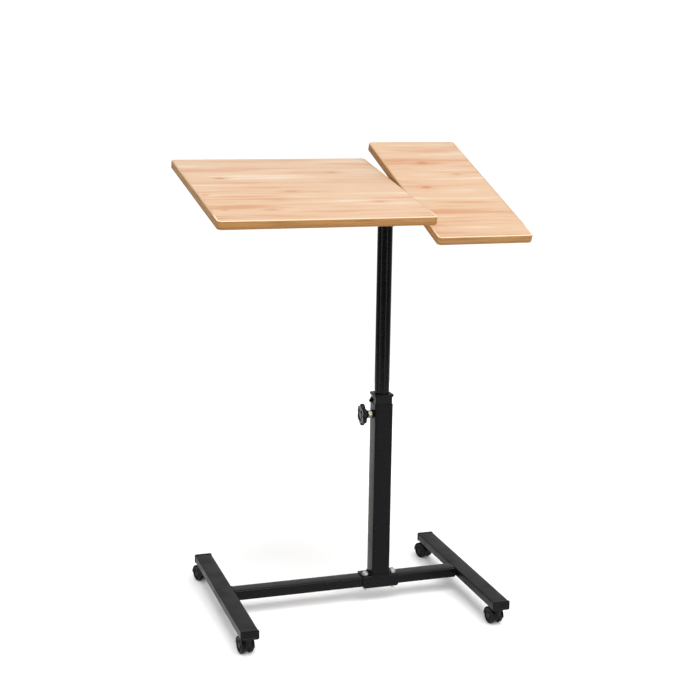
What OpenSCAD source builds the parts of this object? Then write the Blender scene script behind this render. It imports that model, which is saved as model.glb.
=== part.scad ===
// Adjustable computer table: a large and a small top that tilt separately on one pivot tube, carried by a
// telescopic mast on a wheeled H-shaped base. Millimetres, +Z up, +X right, +Y back. The origin is on the
// floor under the middle of the two tops.

/* [Tops] */
// Depth of both tops, front to back
top_depth = 405; // [320:5:480]
// Width of the large top
main_width = 381; // [331:2:461]
// Width of the small top
side_width = 178; // [160:2:240]
// Gap between the two tops
top_gap = 2; // [1:0.5:5]
// Thickness of both tops
top_thickness = 15; // [12:1:22]
// Corner radius of both tops, seen from above
top_corner = 8; // [7:1:30]
// Thickness of the edge band round each top
band_thickness = 3; // [2.5:0.5:4]
// Radius of the band's rounded outer edges
band_arris = 2; // [0.5:0.5:2]
// Tilt of the large top, back edge raised, in degrees
main_tilt = 10; // [0:1:30]
// Tilt of the small top, back edge raised, in degrees
side_tilt = 20; // [0:1:30]

/* [Pivot tube] */
// Height of the pivot tube's axis above the floor
pivot_height = 759; // [640:1:860]
// Outer diameter of the pivot tube
pivot_d = 22; // [18:1:25]
// Wall of the pivot tube
pivot_wall = 1.5; // [1:0.1:2.5]
// Distance from the pivot tube's axis to the underside of the tops
pivot_drop = 26; // [25:1:36]
// Diameter of the lip on each end plug of the pivot tube
pivot_cap_d = 27; // [26:1:30]
// Thickness of the lip on each end plug of the pivot tube
pivot_cap_lip = 2.5; // [1.5:0.5:4]
// Length of each end plug inside the pivot tube
pivot_cap_depth = 12; // [6:1:20]

/* [Hinge blocks] */
// Width of a hinge block along the pivot tube
block_width = 20; // [16:1:30]
// Wall of a hinge block round the pivot tube
block_wall = 6; // [4:0.5:8]
// Length of a hinge block's flange under the top
flange_length = 84; // [76:1:110]
// Thickness of a hinge block's flange
flange_thickness = 5; // [4:0.5:8]
// Height of the clamp pad above the block's wall
pad_height = 1.5; // [1:0.5:4]
// Distance from the large top's left edge to its left hinge block
main_block_inset = 96; // [40:1:120]
// Distance from the small top's right edge to its right hinge block
side_block_inset = 36; // [20:1:60]
// Diameter of the wood screws that hold the blocks
wood_screw_d = 4; // [3:0.5:5]
// Length of the wood screws below the head
wood_screw_length = 15; // [12:1:16]
// Spacing of the two wood screws of a block, front to back
wood_screw_spacing = 64; // [58:1:70]

/* [Mast head] */
// Length of the head channel along the pivot tube
head_length = 52; // [44:1:64]
// Sheet thickness of the head channel
head_sheet = 3; // [2:0.5:4]
// Height of the channel's side walls above the pivot axis
head_rise = 8; // [6:0.5:10]
// Length of the sleeve that takes the upper mast
head_sleeve = 20; // [12:1:40]
// Wall of the sleeve
head_sleeve_wall = 3; // [2:0.5:4]
// Distance of each cross bolt from the mast's axis
head_bolt_offset = 17; // [14:1:18]

/* [Mast] */
// Side of the square lower mast
mast_side = 35; // [34:1:40]
// Wall of the lower mast
mast_wall = 1.5; // [1:0.1:1.6]
// Outer corner radius of the lower mast
mast_corner = 4; // [3:0.5:5]
// Length of the lower mast
mast_length = 338; // [300:1:380]
// Distance of the mast's axis from the large top's right edge
mast_inset = 22; // [16:1:24]
// Distance of the mast and the crossbar behind the middle of the legs
mast_back = 3; // [0:1:8]
// Outer diameter of the round upper mast
tube_d = 28; // [24:1:28]
// Wall of the upper mast
tube_wall = 1.5; // [1:0.1:2.5]
// Length of the upper mast
tube_length = 515; // [440:1:530]
// Length of the glide plug below the upper mast
glide_length = 20; // [10:1:30]
// Depth of the glide plug's spigot in the upper mast
glide_spigot = 25; // [10:1:40]

/* [Mast collar] */
// Height of the collar's neck above the lower mast
neck_height = 14; // [8:1:20]
// Side of the collar's neck
neck_side = 33; // [31:0.5:33.5]
// Thickness of the collar's lip
lip_height = 5; // [2:0.5:6]
// Side of the collar's lip
lip_side = 37; // [34.5:0.5:44]
// Length of the collar inside the lower mast
collar_depth = 40; // [35:1:70]
// How far the collar's locking lug stands out of the lower mast
lug_reach = 3.3; // [2:0.1:6]
// Width of the locking lug, front to back
lug_width = 6; // [3:0.5:8]
// Height of the locking lug where it leaves the neck
lug_height = 10; // [6:0.5:10]
// Height of the locking lug's blunt tip
lug_tip = 3; // [1:0.5:5]

/* [Clamps] */
// Distance from the top of the lower mast to the height clamp's axis
clamp_down = 21; // [17:1:28]
// Diameter of the clamp screws
clamp_screw_d = 8; // [6:1:8]
// Width across flats of the clamp nuts
clamp_nut_flats = 13; // [12:0.5:14]
// Thickness of the clamp nuts
clamp_nut_height = 7.5; // [4:0.5:9]
// Diameter of the boss under the height clamp's nut
boss_d = 16; // [15:0.5:20]
// Thickness of the boss under the height clamp's nut
boss_height = 2.5; // [1:0.5:5]
// Diameter of the height knob
height_knob_d = 42; // [36:1:50]
// Diameter of the tilt knobs
tilt_knob_d = 34; // [28:1:40]
// Thickness of a knob's lobed disc
knob_disc = 8; // [4:0.5:10]
// Number of lobes on a knob
knob_lobes = 6; // [4:1:8]
// Length of a knob's hub
knob_hub = 5.5; // [5:0.5:12]
// Diameter of a knob's hub
knob_hub_d = 18; // [14:0.5:18]

/* [Base] */
// Length of the legs with their end caps, front to back
leg_length = 390; // [340:5:460]
// Width of the legs
leg_width = 32; // [28:1:40]
// Height of the legs
leg_height = 16; // [14:1:20]
// Wall of the legs
leg_wall = 1.5; // [1:0.1:2]
// Outer corner radius of the legs
leg_corner = 2; // [1.8:0.1:3]
// Distance between the two legs' middles
leg_spacing = 475; // [420:5:560]
// Distance of the base's middle from the mast, to its left
base_offset = 66; // [20:1:100]
// Thickness of the legs' end caps outside the tube
cap_thickness = 3; // [2:0.5:5]
// Depth of the end caps inside the tube
cap_depth = 8; // [4:0.5:8]
// How far the end caps stand out round the legs
cap_lip = 1; // [0.5:0.5:1.5]
// Depth of the crossbar, front to back
cross_depth = 30; // [28:1:34]
// Height of the crossbar
cross_height = 20; // [18:1:25]
// Wall of the crossbar
cross_wall = 1.5; // [1:0.1:2]
// Outer corner radius of the crossbar
cross_corner = 4; // [3:0.5:5]

/* [Mast foot] */
// Length of the foot saddle along the crossbar
saddle_length = 72; // [70:1:100]
// Sheet thickness of the foot saddle
saddle_sheet = 2.5; // [2:0.5:4]
// Depth of the saddle's flanges beside the crossbar
saddle_drop = 22; // [10:1:23]
// Distance of each foot bolt from the mast's axis
foot_bolt_offset = 28; // [27:0.5:31]
// How far the foot bolts sit in front of the mast's axis
foot_bolt_forward = 6; // [0:0.5:7]
// Thread diameter of the foot bolts and the head's cross bolts
bolt_d = 6; // [5:1:6]
// Width across flats of the bolt heads and nuts
bolt_flats = 10; // [9:0.5:10]
// Height of the bolt heads
bolt_head = 4; // [3:0.5:5]
// Height of the bolts' nuts
bolt_nut = 5; // [4:0.5:6]
// How far the bolts stand out of their nuts
bolt_end = 3.5; // [1:0.5:6]
// Thickness of the washers
washer = 1; // [0.8:0.1:2]
// Diameter of the washers
washer_d = 12; // [11.5:0.5:13]

/* [Casters] */
// Diameter of the caster wheels
wheel_d = 30; // [28:1:36]
// Width of one wheel
wheel_width = 8; // [7:0.5:13]
// Radius of the rounded wheel edges
wheel_round = 2; // [1:0.5:3]
// Distance of a wheel's axle behind the caster's swivel axis
trail = 12; // [11:0.5:18]
// Distance from a leg's end to the swivel axis
caster_inset = 17; // [17:0.5:30]
// Turn of the front casters' trail from straight back towards the left, in degrees
front_caster_turn = 8; // [0:1:45]
// Turn of the back casters' trail from straight back towards the left, in degrees
back_caster_turn = 20; // [0:1:45]
// Gap between the wheel and the hood over it
hood_gap = 0.7; // [0.5:0.1:1.5]
// Thickness of the hood
hood_wall = 1.3; // [1:0.1:2]
// Width of the web between the two wheels
web_width = 7; // [7:0.5:9]
// Diameter of the boss round the stem
neck_d = 13; // [12:0.5:18]
// Diameter of the stem in the leg
stem_d = 8; // [7:0.5:9]
// Diameter of the stem in the hood
stem_root_d = 5; // [4.5:0.5:6]
// Diameter of the axle
axle_d = 5; // [4:0.5:6]
// Outer diameter of the stem's socket
socket_d = 11; // [10.5:0.5:12]
// Diameter of the socket's flange
socket_flange_d = 16; // [14:0.5:20]
// Thickness of the socket's flange
socket_flange = 1.5; // [1:0.5:3]

/* [Fits] */
// Radial clearance of parts that turn on each other
running = 0.05; // [0.02:0.01:0.1]
// Gap between parts that pass or rest near each other
clear = 0.3; // [0.2:0.05:0.5]
// Gap at each side of a hinge block along the pivot tube
axial = 0.5; // [0.3:0.1:1]

/* [Hidden] */
$fn = 64;

LEFT = -1;
RIGHT = 1;
FRONT = -1;
BACK = 1;

STEEL = "#26262a";
PLASTIC = "#1b1b1d";
ZINC = "#d4d2c8";
LAMINATE = "#ecc9a0";
BAND = "#b5803f";

// Places along X
tops_width = main_width + top_gap + side_width;
main_x = -tops_width / 2 + main_width / 2;
side_x = tops_width / 2 - side_width / 2;
mast_x = main_x + main_width / 2 - mast_inset;
base_x = mast_x - base_offset;
main_left_x = -tops_width / 2 + main_block_inset;
main_right_x = mast_x - head_length / 2 - axial - block_width;
side_left_x = mast_x + head_length / 2 + axial;
side_right_x = tops_width / 2 - side_block_inset - block_width;
pivot_left = main_left_x - axial;
pivot_right = side_right_x + block_width + axial;

// Casters: heights from the floor up to the legs
wheel_r = wheel_d / 2;
hood_r = wheel_r + hood_gap + hood_wall;
hood_top = wheel_r + hood_r + 1.2;
leg_bottom = hood_top + clear + socket_flange;
leg_top = leg_bottom + leg_height;
leg_mid = leg_bottom + leg_height / 2;
caster_y = leg_length / 2 - caster_inset;
socket_depth = leg_height - leg_wall - clear;
stem_top = leg_bottom + socket_depth - 1 - clear;
stem_root = wheel_r + axle_d / 2 + 2.5;
wheel_gap = 0.3;
web_lift = 2.5;
axle_length = web_width + 2 * (wheel_gap + wheel_width) - 4;

// Mast: heights from the crossbar up to the head
cross_top = leg_top;
cross_bottom = cross_top - cross_height;
saddle_top = cross_top + saddle_sheet;
mast_top = saddle_top + mast_length;
lip_bottom = mast_top + neck_height;
clamp_z = mast_top - clamp_down;
mast_inner = mast_side - 2 * mast_wall;
pivot_r = pivot_d / 2;
tube_r = tube_d / 2;
tube_top = pivot_height - pivot_r - head_sheet;
tube_bottom = tube_top - tube_length;
block_r = pivot_r + block_wall;

// Clamps: distances from the axis of the tube that the screw presses on
knob_gap = 1;
screw_in_knob = 5;
height_seat = mast_side / 2 + boss_height;
tilt_seat = block_r + pad_height;
clamp_screw_r = clamp_screw_d / 2;

// Fasteners
bolt_hole_r = bolt_d / 2 + 0.2;
screw_head_d = 2 * wood_screw_d;
screw_head = 0.6 * wood_screw_d;

// Rectangle with round corners, centred
module round_rect(x, y, r) {
    square([x - 2 * r, y], center = true);
    square([x, y - 2 * r], center = true);
    for (sx = [-1, 1], sy = [-1, 1])
        translate([sx * (x / 2 - r), sy * (y / 2 - r)]) circle(r = r);
}

// Section of a rectangular tube
module tube_section(x, y, r, wall) {
    difference() {
        round_rect(x, y, r);
        round_rect(x - 2 * wall, y - 2 * wall, max(r - wall, 0.2));
    }
}

// Puts a child drawn along Z so that it runs along X or Y
module along_x() rotate([0, 90, 0]) children();
module along_y() rotate([90, 0, 0]) children();

module at_mast(z) translate([mast_x, mast_back, z]) children();

module at_pivot(tilt) translate([0, mast_back, pivot_height]) rotate([tilt, 0, 0]) children();

module at_leg(side) translate([base_x + side * leg_spacing / 2, 0, leg_mid]) children();

module at_caster(side, end)
    translate([base_x + side * leg_spacing / 2, end * caster_y, 0])
        rotate(end < 0 ? front_caster_turn : back_caster_turn) children();

module at_axle() translate([0, trail, wheel_r]) along_x() children();

module hexagon(flats) circle(d = flats / cos(30), $fn = 6);

// Hexagon head bolt whose seat is at z = 0 and whose shank runs down
module hex_bolt(length) {
    linear_extrude(bolt_head) hexagon(bolt_flats);
    translate([0, 0, -length]) cylinder(d = bolt_d, h = length + 0.1);
}

module hex_nut(flats, height, bore_r) {
    linear_extrude(height) difference() {
        hexagon(flats);
        circle(r = bore_r);
    }
}

// Base

module leg(side) {
    color(STEEL) difference() {
        at_leg(side) along_y()
            linear_extrude(leg_length - 2 * cap_thickness, center = true)
                tube_section(leg_width, leg_height, leg_corner, leg_wall);
        for (end = [FRONT, BACK])
            at_caster(side, end) translate([0, 0, leg_bottom - 1]) cylinder(d = socket_d, h = leg_wall + 2);
    }
}

module leg_end_caps() {
    inside = leg_wall + 0.1;
    color(PLASTIC) for (side = [LEFT, RIGHT], end = [FRONT, BACK]) at_leg(side)
        translate([0, end * leg_length / 2, 0]) along_y() mirror([0, 0, end == FRONT ? 1 : 0]) {
            linear_extrude(cap_thickness)
                round_rect(leg_width + 2 * cap_lip, leg_height + 2 * cap_lip, leg_corner + cap_lip);
            linear_extrude(cap_thickness + cap_depth)
                round_rect(leg_width - 2 * inside, leg_height - 2 * inside, 0.5);
        }
}

module crossbar() {
    length = leg_spacing - leg_width;
    color(STEEL) difference() {
        translate([base_x, mast_back, cross_top - cross_height / 2]) along_x()
            linear_extrude(length, center = true)
                tube_section(cross_height, cross_depth, cross_corner, cross_wall);
        foot_bolt_places(cross_bottom - 1) cylinder(r = bolt_hole_r, h = cross_height + 2);
    }
}

module foot_bolt_places(z)
    for (side = [LEFT, RIGHT])
        translate([mast_x + side * foot_bolt_offset, mast_back - foot_bolt_forward, z]) children();

module mast_saddle() {
    inner = cross_depth + 0.2;
    outer = inner + 2 * saddle_sheet;
    color(STEEL) difference() {
        at_mast(cross_top - saddle_drop) translate([-saddle_length / 2, -outer / 2, 0])
            cube([saddle_length, outer, saddle_drop + saddle_sheet]);
        at_mast(cross_top - saddle_drop) translate([-saddle_length / 2 - 1, -inner / 2, -1])
            cube([saddle_length + 2, inner, saddle_drop + 1]);
        foot_bolt_places(cross_top - 1) cylinder(r = bolt_hole_r, h = saddle_sheet + 2);
    }
}

foot_grip = saddle_sheet + cross_height + 2 * washer;

module foot_bolts() {
    color(ZINC) foot_bolt_places(saddle_top + washer) hex_bolt(foot_grip + bolt_nut + bolt_end);
}

module foot_washers() {
    color(ZINC) for (z = [saddle_top, cross_bottom - washer])
        foot_bolt_places(z) linear_extrude(washer) difference() {
            circle(d = washer_d);
            circle(r = bolt_hole_r);
        }
}

module foot_nuts() {
    color(ZINC) foot_bolt_places(cross_bottom - washer - bolt_nut)
        hex_nut(bolt_flats, bolt_nut, bolt_d / 2 + running);
}

module caster_sockets() {
    color(PLASTIC) for (side = [LEFT, RIGHT], end = [FRONT, BACK]) at_caster(side, end) difference() {
        translate([0, 0, leg_bottom - socket_flange]) {
            cylinder(d = socket_flange_d, h = socket_flange);
            cylinder(d = socket_d, h = socket_flange + socket_depth);
        }
        translate([0, 0, leg_bottom - socket_flange - 1])
            cylinder(r = stem_d / 2 + running, h = socket_flange + socket_depth);
    }
}

// Mast

module lower_mast() {
    color(STEEL) difference() {
        at_mast(saddle_top) linear_extrude(mast_length)
            tube_section(mast_side, mast_side, mast_corner, mast_wall);
        at_height_clamp() cylinder(r = clamp_screw_r + 0.5, h = mast_side);
    }
}

// Wedge near the back of the neck's left face, which overhangs the lower mast
module collar_lug() {
    tip = -mast_side / 2 - lug_reach;
    root = -neck_side / 2 + 1;
    at_mast(mast_top) translate([0, mast_side / 2 - mast_corner, 0]) along_y() linear_extrude(lug_width)
        polygon([[root, 0], [tip, 0], [tip, lug_tip], [-neck_side / 2, lug_height], [root, lug_height]]);
}

module mast_collar() {
    spigot = mast_inner - clear;
    color(PLASTIC) difference() {
        union() {
            at_mast(mast_top - collar_depth) linear_extrude(collar_depth)
                round_rect(spigot, spigot, mast_corner - mast_wall);
            at_mast(mast_top) linear_extrude(neck_height) round_rect(neck_side, neck_side, mast_corner);
            at_mast(lip_bottom) linear_extrude(lip_height) round_rect(lip_side, lip_side, mast_corner);
            collar_lug();
        }
        at_mast(mast_top - collar_depth - 1)
            cylinder(r = tube_r + running, h = collar_depth + neck_height + lip_height + 2);
        at_height_clamp() cylinder(r = clamp_screw_r + 0.5, h = mast_side);
    }
}

module glide_plug() {
    side = mast_inner - 2 * clear;
    color(PLASTIC) at_mast(tube_bottom) {
        translate([0, 0, -glide_length]) linear_extrude(glide_length)
            round_rect(side, side, mast_corner - mast_wall);
        cylinder(r = tube_r - tube_wall - running, h = glide_spigot);
    }
}

module upper_mast() {
    color(STEEL) at_mast(tube_bottom) linear_extrude(tube_length) difference() {
        circle(r = tube_r);
        circle(r = tube_r - tube_wall);
    }
}

module head_bolt_places(y)
    for (side = [LEFT, RIGHT])
        translate([mast_x + side * head_bolt_offset, mast_back + y, pivot_height]) along_y() children();

head_inner = pivot_d + 0.2;
head_outer = head_inner + 2 * head_sheet;

module mast_head() {
    color(STEEL) difference() {
        union() {
            at_mast(tube_top) translate([-head_length / 2, -head_outer / 2, 0])
                cube([head_length, head_outer, head_sheet + pivot_r + head_rise]);
            at_mast(tube_top - head_sleeve) cylinder(r = tube_r + head_sleeve_wall, h = head_sleeve + 1);
        }
        at_mast(tube_top + head_sheet) translate([-head_length / 2 - 1, -head_inner / 2, 0])
            cube([head_length + 2, head_inner, pivot_d + head_rise]);
        at_mast(tube_top - head_sleeve - 1) cylinder(r = tube_r, h = head_sleeve + 1);
        head_bolt_places(head_outer) cylinder(r = bolt_hole_r, h = 2 * head_outer);
    }
}

module head_bolts() {
    color(ZINC) head_bolt_places(-head_outer / 2) hex_bolt(head_outer + bolt_nut + bolt_end);
}

module head_nuts() {
    color(ZINC) head_bolt_places(head_outer / 2 + bolt_nut)
        hex_nut(bolt_flats, bolt_nut, bolt_d / 2 + running);
}

module pivot_tube() {
    color(STEEL) difference() {
        at_pivot(0) translate([pivot_left, 0, 0]) along_x() linear_extrude(pivot_right - pivot_left)
            difference() {
                circle(r = pivot_r);
                circle(r = pivot_r - pivot_wall);
            }
        head_bolt_places(head_outer) cylinder(r = bolt_hole_r, h = 2 * head_outer);
    }
}

module pivot_caps() {
    color(PLASTIC) for (end = [[pivot_left, 0], [pivot_right, 1]])
        at_pivot(0) translate([end[0], 0, 0]) mirror([end[1], 0, 0]) along_x() {
            translate([0, 0, -pivot_cap_lip]) cylinder(d = pivot_cap_d, h = pivot_cap_lip);
            cylinder(r = pivot_r - pivot_wall - running, h = pivot_cap_depth);
        }
}

// Tops

// Section of the edge band: x points outwards, y up
module band_section() {
    intersection() {
        translate([0, top_thickness / 2]) round_rect(2 * band_thickness, top_thickness, band_arris);
        square([band_thickness, top_thickness]);
    }
}

module top_board(x, width, tilt) {
    inset = 2 * band_thickness;
    color(LAMINATE) at_pivot(tilt) difference() {
        translate([x, 0, pivot_drop]) linear_extrude(top_thickness)
            round_rect(width - inset, top_depth - inset, top_corner - band_thickness);
        children();
    }
}

module edge_band(x, width, tilt) {
    half_x = width / 2;
    half_y = top_depth / 2;
    color(BAND) at_pivot(tilt) translate([x, 0, pivot_drop]) {
        for (turn = [0, 180]) rotate(turn) {
            band_run(half_x, top_depth);
            rotate(90) band_run(half_y, width);
            band_corner(half_x, half_y);
            rotate(90) band_corner(half_y, half_x);
        }
    }
}

module band_run(out, length)
    translate([out - band_thickness, 0, 0]) along_y()
        linear_extrude(length - 2 * top_corner, center = true) band_section();

module band_corner(out, along)
    translate([out - top_corner, along - top_corner, 0])
        rotate_extrude(angle = 90) translate([top_corner - band_thickness, 0]) band_section();

// Hinge block in the frame of its top: it starts at x, its bore is on the pivot axis
module hinge_block(x, tilt, clamped) {
    color(PLASTIC) at_pivot(tilt) difference() {
        translate([x, 0, 0]) {
            along_x() cylinder(r = block_r, h = block_width);
            translate([0, -block_r, 0]) cube([block_width, 2 * block_r, pivot_drop]);
            translate([0, -flange_length / 2, pivot_drop - flange_thickness])
                cube([block_width, flange_length, flange_thickness]);
            if (clamped) translate([0, -tilt_seat, -block_width / 2])
                cube([block_width, tilt_seat, block_width]);
        }
        translate([x - 1, 0, 0]) along_x() cylinder(r = pivot_r + running, h = block_width + 2);
        if (clamped) translate([x + block_width / 2, 0, 0]) along_y()
            cylinder(r = clamp_screw_r + 0.5, h = tilt_seat + 1);
        block_screw_places(x) cylinder(d = wood_screw_d + 0.2, h = 2 * pivot_drop, center = true);
    }
}

module block_screw_places(x)
    for (y = [-1, 1])
        translate([x + block_width / 2, y * wood_screw_spacing / 2, pivot_drop - flange_thickness]) children();

// Pan head wood screws of the two blocks at a and b
module block_screws(a, b, tilt) {
    color(ZINC) at_pivot(tilt) for (x = [a, b]) block_screw_places(x) {
        translate([0, 0, -screw_head]) cylinder(d = screw_head_d, h = screw_head);
        cylinder(d = wood_screw_d, h = wood_screw_length);
    }
}

// Pilot holes in a top for the wood screws of the two blocks at a and b
module pilot_holes(a, b)
    for (x = [a, b]) block_screw_places(x) cylinder(d = wood_screw_d + 0.2, h = wood_screw_length + 1);

module main_top()
    top_board(main_x, main_width, main_tilt) pilot_holes(main_left_x, main_right_x);

module side_top()
    top_board(side_x, side_width, side_tilt) pilot_holes(side_left_x, side_right_x);

// Clamps: in a clamp's own frame, +Z points from the tube's axis to the knob

module at_height_clamp() translate([mast_x, mast_back, clamp_z]) rotate([0, -90, 0]) children();

module at_tilt_clamp(x, tilt)
    at_pivot(tilt) translate([x + block_width / 2, 0, 0]) along_y() children();

module clamp_nut(seat) {
    color(ZINC) translate([0, 0, seat])
        rotate(90) hex_nut(clamp_nut_flats, clamp_nut_height, clamp_screw_r + running);
}

module clamp_screw(tube_radius, seat) {
    tip = tube_radius + clear;
    end = seat + clamp_nut_height + knob_gap + screw_in_knob;
    color(ZINC) translate([0, 0, tip]) cylinder(r = clamp_screw_r, h = end - tip);
}

// Lobed knob on its hub, with a blind hole for the screw
module clamp_knob(seat, d) {
    notch = 0.15 * d;
    start = seat + clamp_nut_height + knob_gap;
    color(PLASTIC) translate([0, 0, start]) difference() {
        union() {
            cylinder(d = knob_hub_d, h = knob_hub);
            translate([0, 0, knob_hub]) linear_extrude(knob_disc) difference() {
                circle(d = d);
                for (i = [0 : knob_lobes - 1]) rotate((i + 0.5) * 360 / knob_lobes)
                    translate([d / 2 + 0.35 * notch, 0]) circle(r = notch);
            }
        }
        translate([0, 0, -1]) cylinder(r = clamp_screw_r, h = screw_in_knob + 1);
    }
}

module clamp_boss() {
    color(STEEL) at_height_clamp() translate([0, 0, mast_side / 2]) linear_extrude(boss_height)
        difference() {
            circle(d = boss_d);
            circle(r = clamp_screw_r + 0.5);
        }
}

// Casters

module caster_stem(side, end) {
    shoulder = leg_bottom - socket_flange + clear;
    color(ZINC) at_caster(side, end) {
        translate([0, 0, shoulder]) cylinder(d = stem_d, h = stem_top - shoulder);
        translate([0, 0, stem_root]) cylinder(d = stem_root_d, h = shoulder - stem_root + 0.1);
    }
}

module caster_hood(side, end) {
    width = web_width + 2 * (wheel_gap + wheel_width);
    color(PLASTIC) at_caster(side, end) difference() {
        union() {
            intersection() {
                at_axle() cylinder(r = hood_r, h = width, center = true);
                translate([-width, trail - hood_r, wheel_r - 2]) cube([2 * width, 2 * hood_r, hood_r + 2]);
            }
            at_axle() cylinder(r = wheel_r - web_lift, h = web_width, center = true);
            translate([0, 0, stem_root - 2]) cylinder(d = neck_d, h = hood_top - stem_root + 2);
            translate([-web_width / 2, 0, wheel_r - 2]) cube([web_width, trail, hood_r]);
        }
        for (s = [-1, 1]) translate([s * (web_width + width) / 2, 0, 0]) at_axle()
            cylinder(r = wheel_r + hood_gap, h = width, center = true);
        translate([0, 0, stem_root]) cylinder(d = stem_root_d, h = hood_top);
        at_axle() cylinder(r = axle_d / 2 + running, h = 2 * width, center = true);
    }
}

// Section of one wheel: x is the radius, y the width from the web outwards
module wheel_section() {
    r = wheel_round;
    bore = axle_d / 2;
    difference() {
        union() {
            translate([bore, 0]) square([wheel_r - r - bore, wheel_width]);
            translate([bore, r]) square([wheel_r - bore, wheel_width - 2 * r]);
            for (y = [r, wheel_width - r]) translate([wheel_r - r, y]) circle(r = r);
        }
        translate([bore + 3, wheel_width - 1.5]) square([wheel_r - bore - 7, 3]);
    }
}

module caster_wheels(side, end) {
    color(PLASTIC) at_caster(side, end) at_axle() for (s = [0, 1]) mirror([0, 0, s])
        translate([0, 0, web_width / 2 + wheel_gap]) rotate_extrude() wheel_section();
}

module caster_axle(side, end) {
    color(ZINC) at_caster(side, end) at_axle() cylinder(d = axle_d, h = axle_length, center = true);
}

leg(LEFT);  // left_leg
leg(RIGHT);  // right_leg
leg_end_caps();
crossbar();
mast_saddle();
foot_bolts();
foot_washers();
foot_nuts();
lower_mast();
mast_collar();
clamp_boss();
at_height_clamp() clamp_nut(height_seat);
caster_sockets();
glide_plug();
upper_mast();
mast_head();
head_bolts();
head_nuts();
pivot_tube();
pivot_caps();
main_top();
edge_band(main_x, main_width, main_tilt);  // main_edge_band
hinge_block(main_left_x, main_tilt, true);  // main_left_block
hinge_block(main_right_x, main_tilt, false);  // main_right_block
block_screws(main_left_x, main_right_x, main_tilt);  // main_block_screws
at_tilt_clamp(main_left_x, main_tilt) clamp_nut(tilt_seat);  // main_clamp_nut
side_top();
edge_band(side_x, side_width, side_tilt);  // side_edge_band
hinge_block(side_left_x, side_tilt, false);  // side_left_block
hinge_block(side_right_x, side_tilt, true);  // side_right_block
block_screws(side_left_x, side_right_x, side_tilt);  // side_block_screws
at_tilt_clamp(side_right_x, side_tilt) clamp_nut(tilt_seat);  // side_clamp_nut
at_height_clamp() clamp_knob(height_seat, height_knob_d);  // height_knob
at_height_clamp() clamp_screw(tube_r, height_seat);  // height_knob_screw
at_tilt_clamp(main_left_x, main_tilt) clamp_knob(tilt_seat, tilt_knob_d);  // main_tilt_knob
at_tilt_clamp(main_left_x, main_tilt) clamp_screw(pivot_r, tilt_seat);  // main_tilt_screw
at_tilt_clamp(side_right_x, side_tilt) clamp_knob(tilt_seat, tilt_knob_d);  // side_tilt_knob
at_tilt_clamp(side_right_x, side_tilt) clamp_screw(pivot_r, tilt_seat);  // side_tilt_screw
caster_stem(LEFT, FRONT);  // caster_fl_stem
caster_hood(LEFT, FRONT);  // caster_fl_hood
caster_wheels(LEFT, FRONT);  // caster_fl_wheels
caster_axle(LEFT, FRONT);  // caster_fl_axle
caster_stem(RIGHT, FRONT);  // caster_fr_stem
caster_hood(RIGHT, FRONT);  // caster_fr_hood
caster_wheels(RIGHT, FRONT);  // caster_fr_wheels
caster_axle(RIGHT, FRONT);  // caster_fr_axle
caster_stem(LEFT, BACK);  // caster_bl_stem
caster_hood(LEFT, BACK);  // caster_bl_hood
caster_wheels(LEFT, BACK);  // caster_bl_wheels
caster_axle(LEFT, BACK);  // caster_bl_axle
caster_stem(RIGHT, BACK);  // caster_br_stem
caster_hood(RIGHT, BACK);  // caster_br_hood
caster_wheels(RIGHT, BACK);  // caster_br_wheels
caster_axle(RIGHT, BACK);  // caster_br_axle
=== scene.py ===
"""Looks of an adjustable computer table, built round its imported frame.

The classes below hold their sizes in millimetres and degrees, and their finished meshes are in metres. The
axes are the frame's own: +Z up, +X right, +Y back, with the origin on the floor under the middle of the tops.
"""

from __future__ import annotations

import logging
from dataclasses import dataclass, field
from enum import Enum
from itertools import accumulate
from math import asin, cos, pi, radians, sin, tan
from typing import Any, Callable, ClassVar, Sequence

import bmesh
import bpy
from mathutils import Matrix, Vector


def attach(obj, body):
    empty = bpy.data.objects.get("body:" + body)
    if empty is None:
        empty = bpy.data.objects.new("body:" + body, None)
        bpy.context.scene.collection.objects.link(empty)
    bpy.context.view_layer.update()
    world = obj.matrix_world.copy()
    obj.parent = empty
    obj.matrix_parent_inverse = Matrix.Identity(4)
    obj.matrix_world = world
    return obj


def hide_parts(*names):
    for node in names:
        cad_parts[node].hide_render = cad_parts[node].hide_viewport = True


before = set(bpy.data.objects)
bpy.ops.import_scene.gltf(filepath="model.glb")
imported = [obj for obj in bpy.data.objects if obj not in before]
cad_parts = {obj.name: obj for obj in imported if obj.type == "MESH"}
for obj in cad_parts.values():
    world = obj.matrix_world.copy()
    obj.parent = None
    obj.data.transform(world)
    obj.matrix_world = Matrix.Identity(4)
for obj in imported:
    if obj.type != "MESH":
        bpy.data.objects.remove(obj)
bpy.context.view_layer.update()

MM = 0.001
LOG = logging.getLogger("computer_table")

Outline = list[tuple[float, float]]
Drawing = Callable[[float], Outline]
Triple = tuple[float, float, float]
Stops = Sequence[tuple[float, Triple]]
Look = dict[str, Any]
Inputs = dict[int | str, Any]
Mesh = bpy.types.Mesh
Socket = bpy.types.NodeSocket

ORIGIN: Triple = (0.0, 0.0, 0.0)


class Body(str, Enum):
    """Bodies of the frame that carry this table's pieces."""

    BASE = "base"
    HEAD = "head"
    MAIN_DESK = "main_desk"
    SIDE_DESK = "side_desk"
    HEIGHT_CLAMP = "height_clamp"
    MAIN_TILT_CLAMP = "main_tilt_clamp"
    SIDE_TILT_CLAMP = "side_tilt_clamp"

    __str__ = str.__str__


class Side(Enum):
    """Left and right, as signs along X."""

    LEFT = -1
    RIGHT = 1


class End(Enum):
    """Front and back, as signs along Y."""

    FRONT = -1
    BACK = 1


# Placing and outlines


def shift(x: float, y: float, z: float) -> Matrix:
    """Returns the matrix that moves by x, y and z."""
    return Matrix.Translation((x, y, z))


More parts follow.
